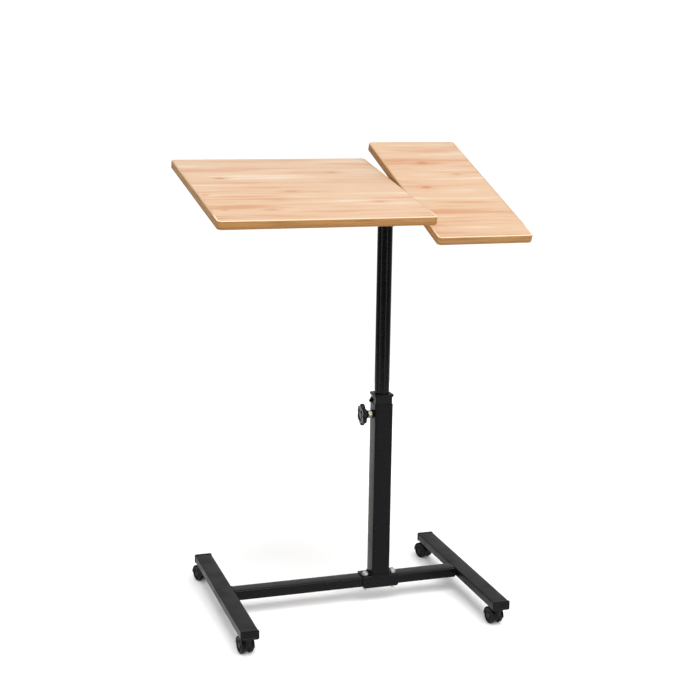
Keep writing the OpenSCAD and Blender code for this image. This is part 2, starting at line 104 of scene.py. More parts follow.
def turn(axis: str, degrees: float) -> Matrix:
    """Returns the matrix that turns about the X, Y or Z axis."""
    return Matrix.Rotation(radians(degrees), 4, axis)


def link(name: str, data: Any) -> bpy.types.Object:
    """Puts a new object with this data in the scene and returns it."""
    made = bpy.data.objects.new(name, data)
    bpy.context.scene.collection.objects.link(made)
    return made


def arc(x: float, y: float, radius: float, start: float, sweep: float, steps: int) -> Outline:
    """Draws an arc.

    Args:
        x: Its middle along the first axis.
        y: Its middle along the second axis.
        radius: Its radius.
        start: Angle of its first point, in degrees.
        sweep: Angle from there to its last point, in degrees.
        steps: Straight pieces in it.

    Returns:
        Its points, one more than its straight pieces.
    """
    angles = [radians(start + sweep * i / steps) for i in range(steps + 1)]
    return [(x + radius * cos(a), y + radius * sin(a)) for a in angles]


def circle(radius: float, height: float, steps: int) -> list[Vector]:
    """Returns the points of a circle round the Z axis; one step gives one point."""
    angles = [2 * pi * i / steps for i in range(steps)]
    return [Vector((radius * cos(a), radius * sin(a), height)) for a in angles]


def rounded(width: float, depth: float, radius: float, steps: int = 5) -> Outline:
    """Draws a rectangle with round corners, centred on the origin.

    Args:
        width: Size along the first axis.
        depth: Size along the second axis.
        radius: Corner radius.
        steps: Straight pieces in each corner.

    Returns:
        The outline's points, anticlockwise. Equal steps give equal counts, so outlines can be skinned.
    """
    radius = max(min(radius, width / 2, depth / 2), 0.01)
    points = []
    for quarter, (x, y) in enumerate(((1, 1), (-1, 1), (-1, -1), (1, -1))):
        points += arc(x * (width / 2 - radius), y * (depth / 2 - radius), radius, 90 * quarter, 90, steps)
    return points


def box(width: float, depth: float, corner: float, steps: int = 5) -> Drawing:
    """Returns what draws such a rectangle with round corners for a distance that it is drawn in."""
    return lambda inset: rounded(width - 2 * inset, depth - 2 * inset, corner - inset, steps)


def blunted(corners: Outline, cut: float, steps: int = 3) -> Outline:
    """Rounds the corners of a polygon.

    Args:
        corners: The polygon's corners in order.
        cut: How far from each corner its rounding starts.
        steps: Straight pieces in each rounding.

    Returns:
        The outline's points.
    """
    points = []
    for i, corner in enumerate(corners):
        here = Vector(corner)
        before = here + (Vector(corners[i - 1]) - here).normalized() * cut
        after = here + (Vector(corners[(i + 1) % len(corners)]) - here).normalized() * cut
        for step in range(steps + 1):
            t = step / steps
            points.append(tuple(before.lerp(here, t).lerp(here.lerp(after, t), t)))
    return points


def rolled(low: float, high: float, edge: float, steps: int, round_low: bool = True) -> Outline:
    """Draws the rounded edges of a slab.

    Args:
        low: Height of the lower face.
        high: Height of the upper face.
        edge: Radius of the edges.
        steps: Straight pieces in each edge.
        round_low: Rounds the lower edge too.

    Returns:
        Pairs of a height and how far the outline is drawn in there, with the distance drawn in first.
    """
    lower = arc(edge, low + edge, edge, 270, -90, steps) if round_low else [(0.0, low)]
    return lower + arc(edge, high - edge, edge, 180, -90, steps)


def pipe(inner: float, outer: float, low: float, high: float, edge: float) -> Outline:
    """Returns the profile of a round tube with a wall, with its outer edges broken."""
    edges = [(outer - edge, low), (outer, low + edge), (outer, high - edge), (outer - edge, high)]
    return [(inner, low), *edges, (inner, high)]


class Shape:
    """A mesh in the making: closed shells drawn in millimetres and put where a matrix says."""

    def __init__(self, place: Matrix | None = None) -> None:
        """Starts an empty shape; place goes from the drawing's own axes to the frame's."""
        self.bm = bmesh.new()
        self.place = place or Matrix()

    def ring(self, outline: Outline, height: float) -> list[Vector]:
        """Returns an outline's points at a height."""
        return [Vector((x, y, height)) for x, y in outline]

    def skin(self, rings: Sequence[Sequence[Vector]], join: bool = False, run: bool = False) -> None:
        """Skins rings of points into one closed shell.

        Args:
            rings: Rings with equal counts of points, or with one point for a pole.
            join: Joins the last ring to the first, as for a tube with a wall, and leaves no end.
            run: Writes a UV map in metres, first along the rings and then across them.
        """
        rows = [[self.bm.verts.new(self.place @ p) for p in ring] for ring in rings]
        count = max(len(row) for row in rows)
        longest = max(rings, key=lambda ring: sum((a - b).length for a, b in zip(ring, ring[1:])))
        lengths = [(longest[(i + 1) % count] - longest[i]).length * MM for i in range(count)]
        widths = [(high[0] - low[0]).length * MM for low, high in zip(rings, [*rings[1:], rings[0]])]
        along, across = [0.0, *accumulate(lengths)], [0.0, *accumulate(widths)]
        layer = self.bm.loops.layers.uv.new("run") if run else None
        pairs = list(zip(rows, rows[1:])) + ([(rows[-1], rows[0])] if join else [])
        for level, (low, high) in enumerate(pairs):
            for i in range(count):
                places = {}
                for row, index, height in ((low, i, 0), (low, i + 1, 0), (high, i + 1, 1), (high, i, 1)):
                    places.setdefault(row[index % len(row)], (along[index], across[level + height]))
                if len(places) < 3:
                    continue
                face = self.bm.faces.new(list(places))
                if layer is not None:
                    for loop, place in zip(face.loops, places.values()):
                        loop[layer].uv = place
        if not join:
            for row in (rows[0][::-1], rows[-1]):
                if len(row) > 2:
                    self.bm.faces.new(row)

    def revolve(self, profile: Outline, steps: int = 48, join: bool = False) -> None:
        """Turns a profile about the drawing's Z axis.

        Args:
            profile: Points of radius and height; a radius of 0 is a pole.
            steps: Points round the turn.
            join: Joins the last point to the first, for a ring or a tube with a wall.
        """
        rings = [circle(radius, height, steps if radius > 0 else 1) for radius, height in profile]
        self.skin(rings, join)

    def slab(
        self, outline: Drawing, low: float, high: float, edge: float, steps: int = 3, round_low: bool = True,
        dish: tuple[float, float] | None = None,
    ) -> None:
        """Raises an outline into a slab with rounded edges.

        Args:
            outline: Gives the outline for a distance that it draws in.
            low: Height of the lower face.
            high: Height of the upper face.
            edge: Radius of the rounded edges.
            steps: Straight pieces in each rounded edge.
            round_low: Rounds the lower edge too.
            dish: Inset and depth of a shallow recess in the upper face.
        """
        rings = rolled(low, high, edge, steps, round_low)
        if dish:
            inset, depth = dish
            rings += [(edge + inset, high), (edge + inset + depth, high - depth)]
        self.skin([self.ring(outline(inset), height) for inset, height in rings])

    def tube(self, outer: Drawing, inner: Outline, low: float, high: float, edge: float = 0.3) -> None:
        """Raises a tube with a wall and lightly broken outer edges.

        Args:
            outer: Gives the outer outline for a distance that it draws in.
            inner: Inner outline, with as many points.
            low: Height of the lower end.
            high: Height of the upper end.
            edge: Size of the broken edges.
        """
        levels = ((edge, low), (0.0, low + edge), (0.0, high - edge), (edge, high))
        rings = [self.ring(outer(inset), height) for inset, height in levels]
        self.skin([*rings, self.ring(inner, high), self.ring(inner, low)], join=True)

    def absorb(self, mesh: Mesh, place: Matrix | None = None) -> None:
        """Takes in a mesh made in metres, which is used up.

        Args:
            mesh: The mesh.
            place: Matrix in millimetres from the mesh's axes to the drawing's.
        """
        mesh.transform(self.place @ (place or Matrix()) @ Matrix.Scale(1 / MM, 4))
        self.bm.from_mesh(mesh)
        bpy.data.meshes.remove(mesh)

    def mesh(self, name: str) -> Mesh:
        """Closes the seams, turns the faces outwards and returns the mesh in metres."""
        bmesh.ops.remove_doubles(self.bm, verts=self.bm.verts, dist=0.002)
        bmesh.ops.recalc_face_normals(self.bm, faces=self.bm.faces)
        bmesh.ops.scale(self.bm, vec=(MM, MM, MM), verts=self.bm.verts)
        mesh = bpy.data.meshes.new(name)
        self.bm.to_mesh(mesh)
        self.bm.free()
        return mesh


# Node trees


def reckoned(operation: str, swapped: bool = False) -> Callable[[Signal, Any], Signal]:
    """Makes the method behind an operator.

    Args:
        operation: What the math node does.
        swapped: The other value comes first.

    Returns:
        The method, which adds a math node and gives its result.
    """

    def method(self: Signal, other: Any) -> Signal:
        """Adds the math node and returns its result."""
        return self.sheet.math(operation, *((other, self) if swapped else (self, other)))

    return method


class Signal:
    """A node's output that can be reckoned with: each operator adds a math node."""

    def __init__(self, sheet: NodeSheet, socket: Socket) -> None:
        """Keeps the output's socket and the sheet that it is on."""
        self.sheet, self.socket = sheet, socket

    __add__ = reckoned("ADD")
    __sub__ = reckoned("SUBTRACT")
    __rsub__ = reckoned("SUBTRACT", swapped=True)
    __mul__ = reckoned("MULTIPLY")
    __truediv__ = reckoned("DIVIDE")


class NodeSheet:
    """Short ways to add and join the nodes of one tree."""

    def __init__(self, tree: bpy.types.NodeTree) -> None:
        """Clears a tree and keeps it."""
        self.tree = tree
        tree.nodes.clear()

    def add(self, kind: str, inputs: Inputs | None = None, **settings: Any) -> bpy.types.Node:
        """Adds a node.

        Args:
            kind: The node's type name.
            inputs: Values or signals for its inputs, by name or number.
            **settings: Values for the node's own properties.

        Returns:
            The node.
        """
        node = self.tree.nodes.new(kind)
        for name, value in settings.items():
            setattr(node, name, value)
        for key, value in (inputs or {}).items():
            self.feed(node.inputs[key], value)
        return node

    def out(
        self, kind: str, inputs: Inputs | None = None, output: int | str = 0, **settings: Any
    ) -> Signal:
        """Adds a node as add does, and returns the output of that name or number."""
        return Signal(self, self.add(kind, inputs, **settings).outputs[output])

    def feed(self, socket: Socket, value: Any) -> None:
        """Links a socket to a signal, or sets its own value."""
        if isinstance(value, Signal):
            self.tree.links.new(value.socket, socket)
        elif socket.type == "RGBA" and len(value) == 3:
            socket.default_value = (*value, 1.0)
        else:
            socket.default_value = value

    def math(self, operation: str, *values: Any, clamp: bool = False) -> Signal:
        """Returns the result of a math node on values or signals."""
        return self.out("ShaderNodeMath", dict(enumerate(values)), operation=operation, use_clamp=clamp)

    def combine(self, x: Any = 0.0, y: Any = 0.0, z: Any = 0.0) -> Signal:
        """Returns a vector made of three values or signals."""
        return self.out("ShaderNodeCombineXYZ", {0: x, 1: y, 2: z})

    def separate(self, vector: Signal) -> list[Signal]:
        """Returns a vector's three parts."""
        return [Signal(self, part) for part in self.add("ShaderNodeSeparateXYZ", {0: vector}).outputs]

    def stretch(self, vector: Signal, scale: Triple, place: Triple = ORIGIN) -> Signal:
        """Returns a vector with each axis scaled, then moved."""
        return self.out("ShaderNodeMapping", {"Vector": vector, "Scale": scale, "Location": place})

    def noise(
        self, vector: Signal, scale: float, detail: float = 2.0, roughness: float = 0.5,
        distortion: float = 0.0,
    ) -> Signal:
        """Adds a noise pattern.

        Args:
            vector: Coordinates, in metres.
            scale: Waves in a metre.
            detail: Finer layers on the first.
            roughness: Strength of the finer layers.
            distortion: How far the pattern is stirred.

        Returns:
            The pattern, from 0 to 1.
        """
        inputs = {"Vector": vector, "Scale": scale, "Detail": detail, "Roughness": roughness}
        return self.out("ShaderNodeTexNoise", {**inputs, "Distortion": distortion})

    def spread(
        self, value: Signal, low: float, high: float, to_low: float = 0.0, to_high: float = 1.0
    ) -> Signal:
        """Returns a value taken from one range to another, smoothly and within it."""
        inputs = dict(enumerate((value, low, high, to_low, to_high)))
        return self.out("ShaderNodeMapRange", inputs, interpolation_type="SMOOTHSTEP")

    def ramp(self, value: Signal, stops: Stops) -> Signal:
        """Colours a value.

        Args:
            value: A value from 0 to 1.
            stops: Positions and their colours, in order.

        Returns:
            The colour.
        """
        node = self.add("ShaderNodeValToRGB", {0: value})
        band = node.color_ramp.elements
        while len(band) < len(stops):
            band.new(0.5)
        for element, (position, colour) in zip(band, stops):
            element.position = position
            element.color = (*colour, 1.0)
        return Signal(self, node.outputs[0])

    def blend(self, share: Any, first: Any, second: Any) -> Signal:
        """Returns two colours blended; share is how much of the second is in it."""
        return self.out("ShaderNodeMix", {0: share, 6: first, 7: second}, 2, data_type="RGBA")

    def relief(self, height: Signal, depth: float, strength: float, over: Signal | None = None) -> Signal:
        """Adds a relief.

        Args:
            height: Its pattern, from 0 to 1.
            depth: Its depth in metres.
            strength: How much of it shows.
            over: Normal of a coarser relief under it.

        Returns:
            The normal.
        """
        inputs = {"Height": height, "Distance": depth, "Strength": strength}
        return self.out("ShaderNodeBump", inputs if over is None else {**inputs, "Normal": over})

    def chance(self, low: Any, high: Any, seed: Any) -> Signal:
        """Adds a random number.

        Args:
            low: The least that it can be.
            high: The most that it can be.
            seed: Its seed.

        Returns:
            The number, drawn anew for each point.
        """
        node = self.add("FunctionNodeRandomValue", {"Seed": seed}, data_type="FLOAT")
        floats = [socket for socket in node.inputs if socket.type == "VALUE" and socket.enabled]
        for socket, value in zip(floats, (low, high)):
            self.feed(socket, value)
        return Signal(self, next(socket for socket in node.outputs if socket.enabled))


# Finishes


@dataclass(frozen=True)
class Finish:
    """A material of the table. Each kind writes its own pattern nodes."""

    name: str = "finish"
    slot: ClassVar[str] = ""

    def material(self) -> bpy.types.Material:
        """Returns the material, made on first use."""
        made = bpy.data.materials.get(self.name)
        if made is None:
            made = bpy.data.materials.new(self.name)
            made.use_nodes = True
            sheet = NodeSheet(made.node_tree)
            place = sheet.out("ShaderNodeTexCoord", output="Object")
            shader = sheet.out("ShaderNodeBsdfPrincipled", self.look(sheet, place))
            sheet.add("ShaderNodeOutputMaterial", {"Surface": shader})
        return made

    def look(self, sheet: NodeSheet, place: Signal) -> Look:
        """Adds the pattern nodes.

        Args:
            sheet: Sheet of the material's tree.
            place: The piece's own coordinates, in metres.

        Returns:
            What goes into the shader's inputs, by their names.
        """
        raise NotImplementedError


@dataclass(frozen=True)
class PowderCoat(Finish):
    """Black powder coat on steel, with orange peel, specks and faint scuffs along the piece's grain."""

    name: str = "black_powder_coat"
    slot: ClassVar[str] = "black_steel"
    coat: Triple = (0.0028, 0.0024, 0.0032)
    speck: Triple = (0.0105, 0.0094, 0.0112)
    scuff: Triple = (0.036, 0.035, 0.034)
    scuffs: float = 0.30
    smooth: float = 0.34
    dull: float = 0.46
    shine: float = 0.09
    peel: float = 0.18
    grain: Triple = (1.0, 1.0, 1.0)

    def look(self, sheet: NodeSheet, place: Signal) -> Look:
        """Adds orange peel, specks and scuffs."""
        patch = sheet.noise(place, 22.0, 3.0, 0.55)
        peel = sheet.noise(place, 420.0)
        fine = sheet.noise(place, 1900.0, 1.0)
        marks = sheet.noise(sheet.stretch(place, self.grain), 160.0, 4.0, 0.7, 0.4)
        worn = sheet.spread(marks, 0.62, 0.80) * sheet.spread(patch, 0.48, 0.70)
        colour = sheet.blend(sheet.spread(peel * 0.65 + fine * 0.35, 0.44, 0.68), self.coat, self.speck)
        return {
            "Base Color": sheet.blend(worn * self.scuffs, colour, self.scuff),
            "Roughness": sheet.spread(patch, 0.3, 0.75, self.smooth, self.dull) + worn * 0.12,
            "Specular IOR Level": self.shine,
            "Normal": sheet.relief(fine, 0.03 * MM, 0.45, sheet.relief(peel, self.peel * MM, 0.75)),
        }


@dataclass(frozen=True)
class MouldedPlastic(Finish):
    """Black moulded plastic with a fine spark grain and duller worn places."""

    name: str = "black_moulded_plastic"
    slot: ClassVar[str] = "black_plastic"
    dark: Triple = (0.0024, 0.0024, 0.0028)
    pale: Triple = (0.0068, 0.0067, 0.0072)
    dirt: Triple = (0.07, 0.067, 0.060)
    smooth: float = 0.26
    dull: float = 0.40
    shine: float = 0.12
    dust: float = 0.0

    def look(self, sheet: NodeSheet, place: Signal) -> Look:
        """Adds spark grain, flow marks and a little dust."""
        flow = sheet.noise(place, 60.0, 3.0, 0.6, 0.8)
        spark = sheet.noise(place, 2600.0, 2.0, 0.6)
        colour = sheet.blend(sheet.spread(flow, 0.35, 0.75), self.dark, self.pale)
        if self.dust:
            dusty = sheet.spread(sheet.noise(place, 240.0, 5.0, 0.7), 0.50, 0.78)
            colour = sheet.blend(dusty * self.dust, colour, self.dirt)
        return {
            "Base Color": colour,
            "Roughness": sheet.spread(flow, 0.3, 0.8, self.smooth, self.dull),
            "Specular IOR Level": self.shine,
            "Normal": sheet.relief(spark, 0.04 * MM, 0.6),
        }


@dataclass(frozen=True)
class WheelPlastic(MouldedPlastic):
    """Harder, duller plastic of the wheels, with dust from the floor."""

    name: str = "scuffed_wheel_plastic"
    slot: ClassVar[str] = "wheel_plastic"
    dark: Triple = (0.0030, 0.0030, 0.0033)
    pale: Triple = (0.0080, 0.0080, 0.0083)
    smooth: float = 0.34
    dull: float = 0.52
    dust: float = 0.35


@dataclass(frozen=True)
class ZincPlate(Finish):
    """Bright zinc plating with the faint tints and fine marks of barrel plating."""

    name: str = "zinc_plate"
    slot: ClassVar[str] = "zinc"
    cool: Triple = (0.66, 0.67, 0.68)
    warm: Triple = (0.68, 0.65, 0.58)

    def look(self, sheet: NodeSheet, place: Signal) -> Look:
        """Adds tints, fine marks and uneven gloss."""
        tint = sheet.noise(place, 180.0, 2.0, 0.5, 1.0)
        marks = sheet.noise(sheet.stretch(place, (1.0, 1.0, 6.0)), 700.0, 4.0, 0.65)
        return {
            "Base Color": sheet.blend(sheet.spread(tint, 0.3, 0.7), self.cool, self.warm),
            "Metallic": 1.0,
            "Roughness": sheet.spread(marks, 0.3, 0.8, 0.34, 0.54),
            "Normal": sheet.relief(marks, 0.02 * MM, 0.5),
        }


@dataclass(frozen=True)
class Knot:
    """A knot in the printed grain: its middle in the plane of the top, its size and how dark its eye is."""

    x: float
    y: float
    size: float = 16.0
    eye: float = 0.6


@dataclass(frozen=True)
class Streak:
    """A reddish streak in the printed grain: its middle, half its length, half its width and its strength."""

    x: float
    y: float
    reach: float
    width: float
    strength: float = 0.6


@dataclass(frozen=True)
class WoodLaminate(Finish):
    """Pale printed wood laminate: grain along X that bends round knots, with reddish streaks.

    The pattern lies in the plane of one top, so each top has its own tilt, middle, knots and streaks.
    """

    name: str = "wood_laminate"
    slot: ClassVar[str] = "laminate"
    tilt: float = 10.0
    pivot: Triple = (0.0, 3.0, 759.0)
    part: float = 0.0
    knots: tuple[Knot, ...] = ()
    streaks: tuple[Streak, ...] = ()
    cream: Triple = (0.680, 0.535, 0.392)
    peach: Triple = (0.618, 0.412, 0.264)
    salmon: Triple = (0.545, 0.282, 0.148)
    ember: Triple = (0.500, 0.195, 0.086)

    def look(self, sheet: NodeSheet, place: Signal) -> Look:
        """Adds knots, grain that bends round them, streaks and fine fibre."""
        lie = {"Location": tuple(MM * v for v in self.pivot), "Rotation": (radians(self.tilt), 0.0, 0.0)}
        flat = sheet.out("ShaderNodeMapping", {"Vector": place, **lie}, vector_type="TEXTURE")
        x, y, _ = sheet.separate(flat)
        wander = sheet.noise(sheet.stretch(flat, (4.5, 22.0, 1.0), (self.part, 0.0, 0.0)), 1.0, 3.0, 0.55)
        y = y + (wander - 0.5) * 0.016
        bent, halo, eye = y, 0.0, 0.0
        for knot in self.knots:
            far = self.distance(sheet, (x, y), (knot.x, knot.y), (2.3 * knot.size, knot.size))
            bent = bent - sheet.spread(far, 1.25, 0.0) * (y - knot.y * MM) * 0.72
            halo = sheet.math("MAXIMUM", halo, sheet.spread(far, 0.95, 0.25))
            eye = sheet.math("MAXIMUM", eye, sheet.spread(far, 0.42, 0.12) * knot.eye)

        warm = sheet.noise(sheet.combine(x * 4.0, bent * 34.0, self.part), 1.0, 3.0, 0.55)
        rings = sheet.noise(sheet.combine(x * 2.2, bent * 150.0, self.part), 1.0)
        fibre = sheet.noise(sheet.combine(x * 30.0, bent * 1100.0), 1.0, 3.0, 0.6)
        stops = [(0.38, self.cream), (0.46, self.peach), (0.53, self.peach), (0.63, self.salmon)]
        colour = sheet.ramp(warm * 0.66 + rings * 0.34, stops)
        for streak in self.streaks:
            far = self.distance(sheet, (x, bent), (streak.x, streak.y), (streak.reach, streak.width))
            share = sheet.spread(far, 1.0, 0.1) * streak.strength
            colour = sheet.blend(share * sheet.spread(rings, 0.25, 0.60, 0.55, 1.0), colour, self.ember)
        colour = sheet.blend(halo * 0.50, colour, self.salmon)
        colour = sheet.blend(eye, colour, self.ember)
        colour = sheet.blend(sheet.spread(fibre, 0.50, 0.80) * 0.20, colour, self.salmon)
        pores = sheet.relief(fibre, 0.04 * MM, 0.35)
        return {
            "Base Color": colour,
            "Roughness": sheet.spread(fibre, 0.25, 0.80, 0.38, 0.54),
            "Specular IOR Level": 0.35,
            "Normal": sheet.relief(sheet.noise(flat, 900.0), 0.02 * MM, 0.25, pores),
        }

    def distance(
        self, sheet: NodeSheet, place: Sequence[Signal], middle: Sequence[float], reach: Sequence[float]
    ) -> Signal:
        """Returns the distance from a middle, with each axis measured against its own reach."""
        x, y = ((p - start * MM) / (size * MM) for p, start, size in zip(place, middle, reach))
        return sheet.math("SQRT", x * x + y * y)


@dataclass(frozen=True)
class EdgeBand(Finish):
    """Golden brown edge band, printed with lines that run along it, with painted shade on its lower half and
    a painted highlight on its upper edge. It reads the band's own UV map.
    """

    name: str = "golden_edge_band"
    slot: ClassVar[str] = "edge_band"
    gold: Triple = (0.470, 0.238, 0.070)
    brown: Triple = (0.300, 0.125, 0.030)
    # cream: colour of the painted highlight along the band's upper edge
    cream: Triple = (0.860, 0.720, 0.520)
    thickness: float = 15.0
    flat_part: float = 2.6
    arris: float = 1.8

    def look(self, sheet: NodeSheet, place: Signal) -> Look:
        """Adds lines along the band, painted shade that darkens its lower half, and a painted highlight in
        cream along its upper edge, strongest along the front.
        """
        run = sheet.out("ShaderNodeUVMap", uv_map="run")
        along, across, _ = sheet.separate(run)
        lines = sheet.noise(sheet.combine(along * 9.0, across * 420.0), 1.0, 3.0, 0.6, 0.3)
        fibre = sheet.noise(sheet.combine(along * 40.0, across * 2400.0), 1.0, 2.0, 0.6)
        blotch = sheet.noise(sheet.stretch(run, (14.0, 90.0, 1.0)), 1.0)
        stops = [(0.32, self.gold), (0.48, self.gold), (0.66, self.brown)]
        colour = sheet.ramp(lines * 0.7 + blotch * 0.3, stops)
        colour = sheet.blend(sheet.spread(fibre, 0.5, 0.8) * 0.25, colour, self.brown)
        # Painted shade: the lower half of the band is blended towards brown.
        low = sheet.spread(across, (self.flat_part + 0.5 * self.thickness) * MM, (self.flat_part + 1.0) * MM)
        colour = sheet.blend(low * 0.62, colour, self.brown)
        # Painted highlight: the rounded upper edge is blended towards cream, most along the front.
        upper = (self.flat_part + self.thickness - self.arris) * MM
        painted_highlight = sheet.spread(across, upper, upper + 1.2 * MM)
        front = sheet.spread(sheet.separate(place)[1], -0.150, -0.180, 0.28, 0.90)
        return {
            "Base Color": sheet.blend(painted_highlight * front, colour, self.cream),
            "Roughness": sheet.spread(lines, 0.3, 0.8, 0.38, 0.52),
            "Specular IOR Level": 0.30,
            "Normal": sheet.relief(fibre, 0.02 * MM, 0.25),
        }


@dataclass(frozen=True)
class StudioFloor(Finish):
    """Plain pale studio floor with a very faint unevenness and a slight glow of its own."""

    name: str = "studio_floor"
    glow: float = 0.09

    def look(self, sheet: NodeSheet, place: Signal) -> Look:
        """Adds a barely visible mottle."""
        mottle = sheet.noise(place, 1.5, 3.0)
        return {
            "Base Color": sheet.blend(mottle, (0.92, 0.92, 0.92), (0.94, 0.94, 0.94)),
            "Roughness": sheet.spread(mottle, 0.3, 0.7, 0.80, 0.90),
            "Specular IOR Level": 0.2,
            "Emission Color": (1.0, 1.0, 1.0),
            "Emission Strength": self.glow,
        }


def coat(along: str, grain: Triple, **changes: Any) -> PowderCoat:
    """Returns a powder coat whose scuffs run along the piece, with its own changes."""
    return PowderCoat(name=f"black_powder_coat_{along}", grain=grain, **changes)


COAT = PowderCoat()
DARKER = {"coat": (0.0014, 0.0012, 0.0016), "speck": (0.0070, 0.0063, 0.0075)}
CROSS_COAT = coat("along_x", (0.12, 1.0, 1.0), smooth=0.25, dull=0.34, shine=0.13, peel=0.08, **DARKER)
LEG_COAT = coat("along_y", (1.0, 0.12, 1.0), smooth=0.30, dull=0.44)
MAST_COAT = coat("along_z", (1.0, 1.0, 0.10), smooth=0.24, dull=0.34)
TUBE_COAT = coat("sliding_tube", (1.0, 1.0, 0.05), smooth=0.15, dull=0.23, shine=0.12, scuffs=0.22, peel=0.05)
PLASTIC = MouldedPlastic()
KNOB_PLASTIC = MouldedPlastic(name="glossy_knob_plastic", smooth=0.16, dull=0.26, shine=0.15)
WHEEL = WheelPlastic()
ZINC = ZincPlate()
YELLOW_ZINC = ZincPlate(name="yellow_zinc_plate", cool=(0.33, 0.325, 0.26), warm=(0.38, 0.345, 0.22))
BAND = EdgeBand()


# Pieces


def fit(
    name: str, source: Shape | Mesh, finish: Finish, body: str, *nodes: str, soften: float = 0.0,
    sharp: float = 35.0,
) -> bpy.types.Object:
    """Makes a finished piece that rides on a body of the frame.

    Args:
        name: The piece's name.
        source: Shape in the making, or a mesh in metres.
        finish: Its finish.
        body: Body that carries it.
        *nodes: Frame nodes that it stands for.
        soften: Width of a bevel on its sharp edges, in millimetres.
        sharp: Angle in degrees from which an edge counts as sharp.

    Returns:
        The piece.
    """
    mesh = source.mesh(name) if isinstance(source, Shape) else source
    mesh.name = name
    mesh.materials.clear()
    mesh.materials.append(finish.material())
    mesh.shade_smooth()
    mesh.set_sharp_from_angle(angle=radians(sharp))
    piece = link(name, mesh)
    if soften:
        bevel = piece.modifiers.new("softened_edges", "BEVEL")
        bevel.width = soften * MM
        bevel.segments = 2
        bevel.limit_method = "ANGLE"
        bevel.angle_limit = radians(sharp)
        bevel.harden_normals = True
    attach(piece, str(body.value if isinstance(body, Enum) else body))
    if nodes:
        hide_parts(*nodes)
    LOG.info("%s rides on %s, %d faces", name, body, len(mesh.polygons))
    return piece


def dress(node: str, finish: Finish) -> None:
    """Gives a frame node that stays in view its finish.

    Args:
        node: The node's name.
        finish: The finish.
    """
    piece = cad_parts[node]
    if not piece.material_slots:
        piece.data.materials.append(finish.material())
    for slot in piece.material_slots:
        slot.material = finish.material()
    LOG.info("%s keeps its own shape, in %s", node, finish.name)


# Geometry nodes


class NodesTool:
    """A geometry nodes tree with named inputs, run once to give a plain mesh."""

    KINDS: ClassVar[dict[type, str]] = {float: "Float", int: "Int", tuple: "Vector"}

    def __init__(self, name: str) -> None:
        """Makes the tree with its geometry sockets and its material input."""
        self.group = bpy.data.node_groups.new(name, "GeometryNodeTree")
        self.sheet = NodeSheet(self.group)
        for way in ("INPUT", "OUTPUT"):
            self.group.interface.new_socket("Geometry", in_out=way, socket_type="NodeSocketGeometry")
        self.start = self.sheet.add("NodeGroupInput")
        self.finish = self.input("Finish", kind="Material")

    def input(self, name: str, value: Any = None, kind: str = "") -> Signal:
        """Adds a named input.

        Args:
            name: Its name.
            value: What it holds at first; lengths are in metres.
            kind: Its socket type, if the value doesn't tell it.

        Returns:
            The input, as seen inside the tree.
        """
        kind = kind or self.KINDS[type(value)]
        item = self.group.interface.new_socket(name, in_out="INPUT", socket_type=f"NodeSocket{kind}")
        if value is not None:
            item.default_value = value
        return Signal(self.sheet, self.start.outputs[name])

    def spin(self, angle: Signal) -> Signal:
        """Returns the rotation by an angle about the Z axis."""
        return self.sheet.out("FunctionNodeAxisAngleToRotation", {"Axis": (0.0, 0.0, 1.0), "Angle": angle})

    def lift(self, geometry: Signal, height: Signal) -> Signal:
        """Returns the geometry moved up."""
        up = self.sheet.combine(z=height)
        return self.sheet.out("GeometryNodeTransform", {0: geometry, "Translation": up})

    def close(self, geometry: Signal) -> None:
        """Ends the tree: the copies are made real, shaded smooth and given their finish."""
        real = self.sheet.out("GeometryNodeRealizeInstances", {0: geometry})
        smooth = self.sheet.out("GeometryNodeSetShadeSmooth", {0: real})
        painted = self.sheet.out("GeometryNodeSetMaterial", {0: smooth, "Material": self.finish})
        self.sheet.add("NodeGroupOutput", {0: painted})

    def run(self, finish: Finish, start: Mesh | None = None, **values: Any) -> Mesh:
        """Runs the tree.

        Args:
            finish: Finish that the tree sets on the result.
            start: Mesh that the tree starts from, if it needs one.
            **values: Values for the named inputs, with _ for a space.

        Returns:
            The result as a plain mesh.
        """
        carrier = link("carrier", start or bpy.data.meshes.new("start"))
        modifier = carrier.modifiers.new("tool", "NODES")
        modifier.node_group = self.group
        given = {name.replace("_", " "): value for name, value in values.items()}
        given["Finish"] = finish.material()
        for item in self.group.interface.items_tree:
            if item.item_type == "SOCKET" and item.in_out == "INPUT" and item.name in given:
                modifier[item.identifier] = given.pop(item.name)
        if given:
            raise ValueError(f"{self.group.name} has no input named {sorted(given)}")
        graph = bpy.context.evaluated_depsgraph_get()
        result = bpy.data.meshes.new_from_object(carrier.evaluated_get(graph), depsgraph=graph)
        unused = carrier.data
        bpy.data.objects.remove(carrier)
        bpy.data.meshes.remove(unused)
        return result


class PartGrid(NodesTool):
    """Copies of one part on a grid of places, each with a small turn of its own."""

    def __init__(self) -> None:
        """Builds the tree."""
        super().__init__("part_grid")
        sheet = self.sheet
        part = self.input("Part", kind="Object")
        first, step, row_step = (self.input(name, ORIGIN) for name in ("First", "Step", "Row step"))
        count, rows, facing = self.input("Count", 2), self.input("Rows", 1), self.input("Facing", ORIGIN)
        loose, seed = self.input("Turn", 0.3), self.input("Seed", 7)
        line = sheet.out("GeometryNodeMeshLine", {"Count": count, "Start Location": first, "Offset": step})
        row = sheet.out("GeometryNodeMeshLine", {"Count": rows, "Offset": row_step})
        grid = sheet.out("GeometryNodeInstanceOnPoints", {"Points": line, "Instance": row})
        places = sheet.out("GeometryNodeRealizeInstances", {0: grid})
        own = {"transform_space": "ORIGINAL"}
        pattern = sheet.out("GeometryNodeObjectInfo", {"Object": part}, "Geometry", **own)
        spin = self.spin(sheet.chance(loose * -1.0, loose, seed))
        face = sheet.out("FunctionNodeEulerToRotation", {0: facing})
        both = sheet.out("FunctionNodeRotateRotation", {0: face, 1: spin}, rotation_space="LOCAL")
        copies = {"Points": places, "Instance": pattern, "Rotation": both}
        self.close(sheet.out("GeometryNodeInstanceOnPoints", copies))


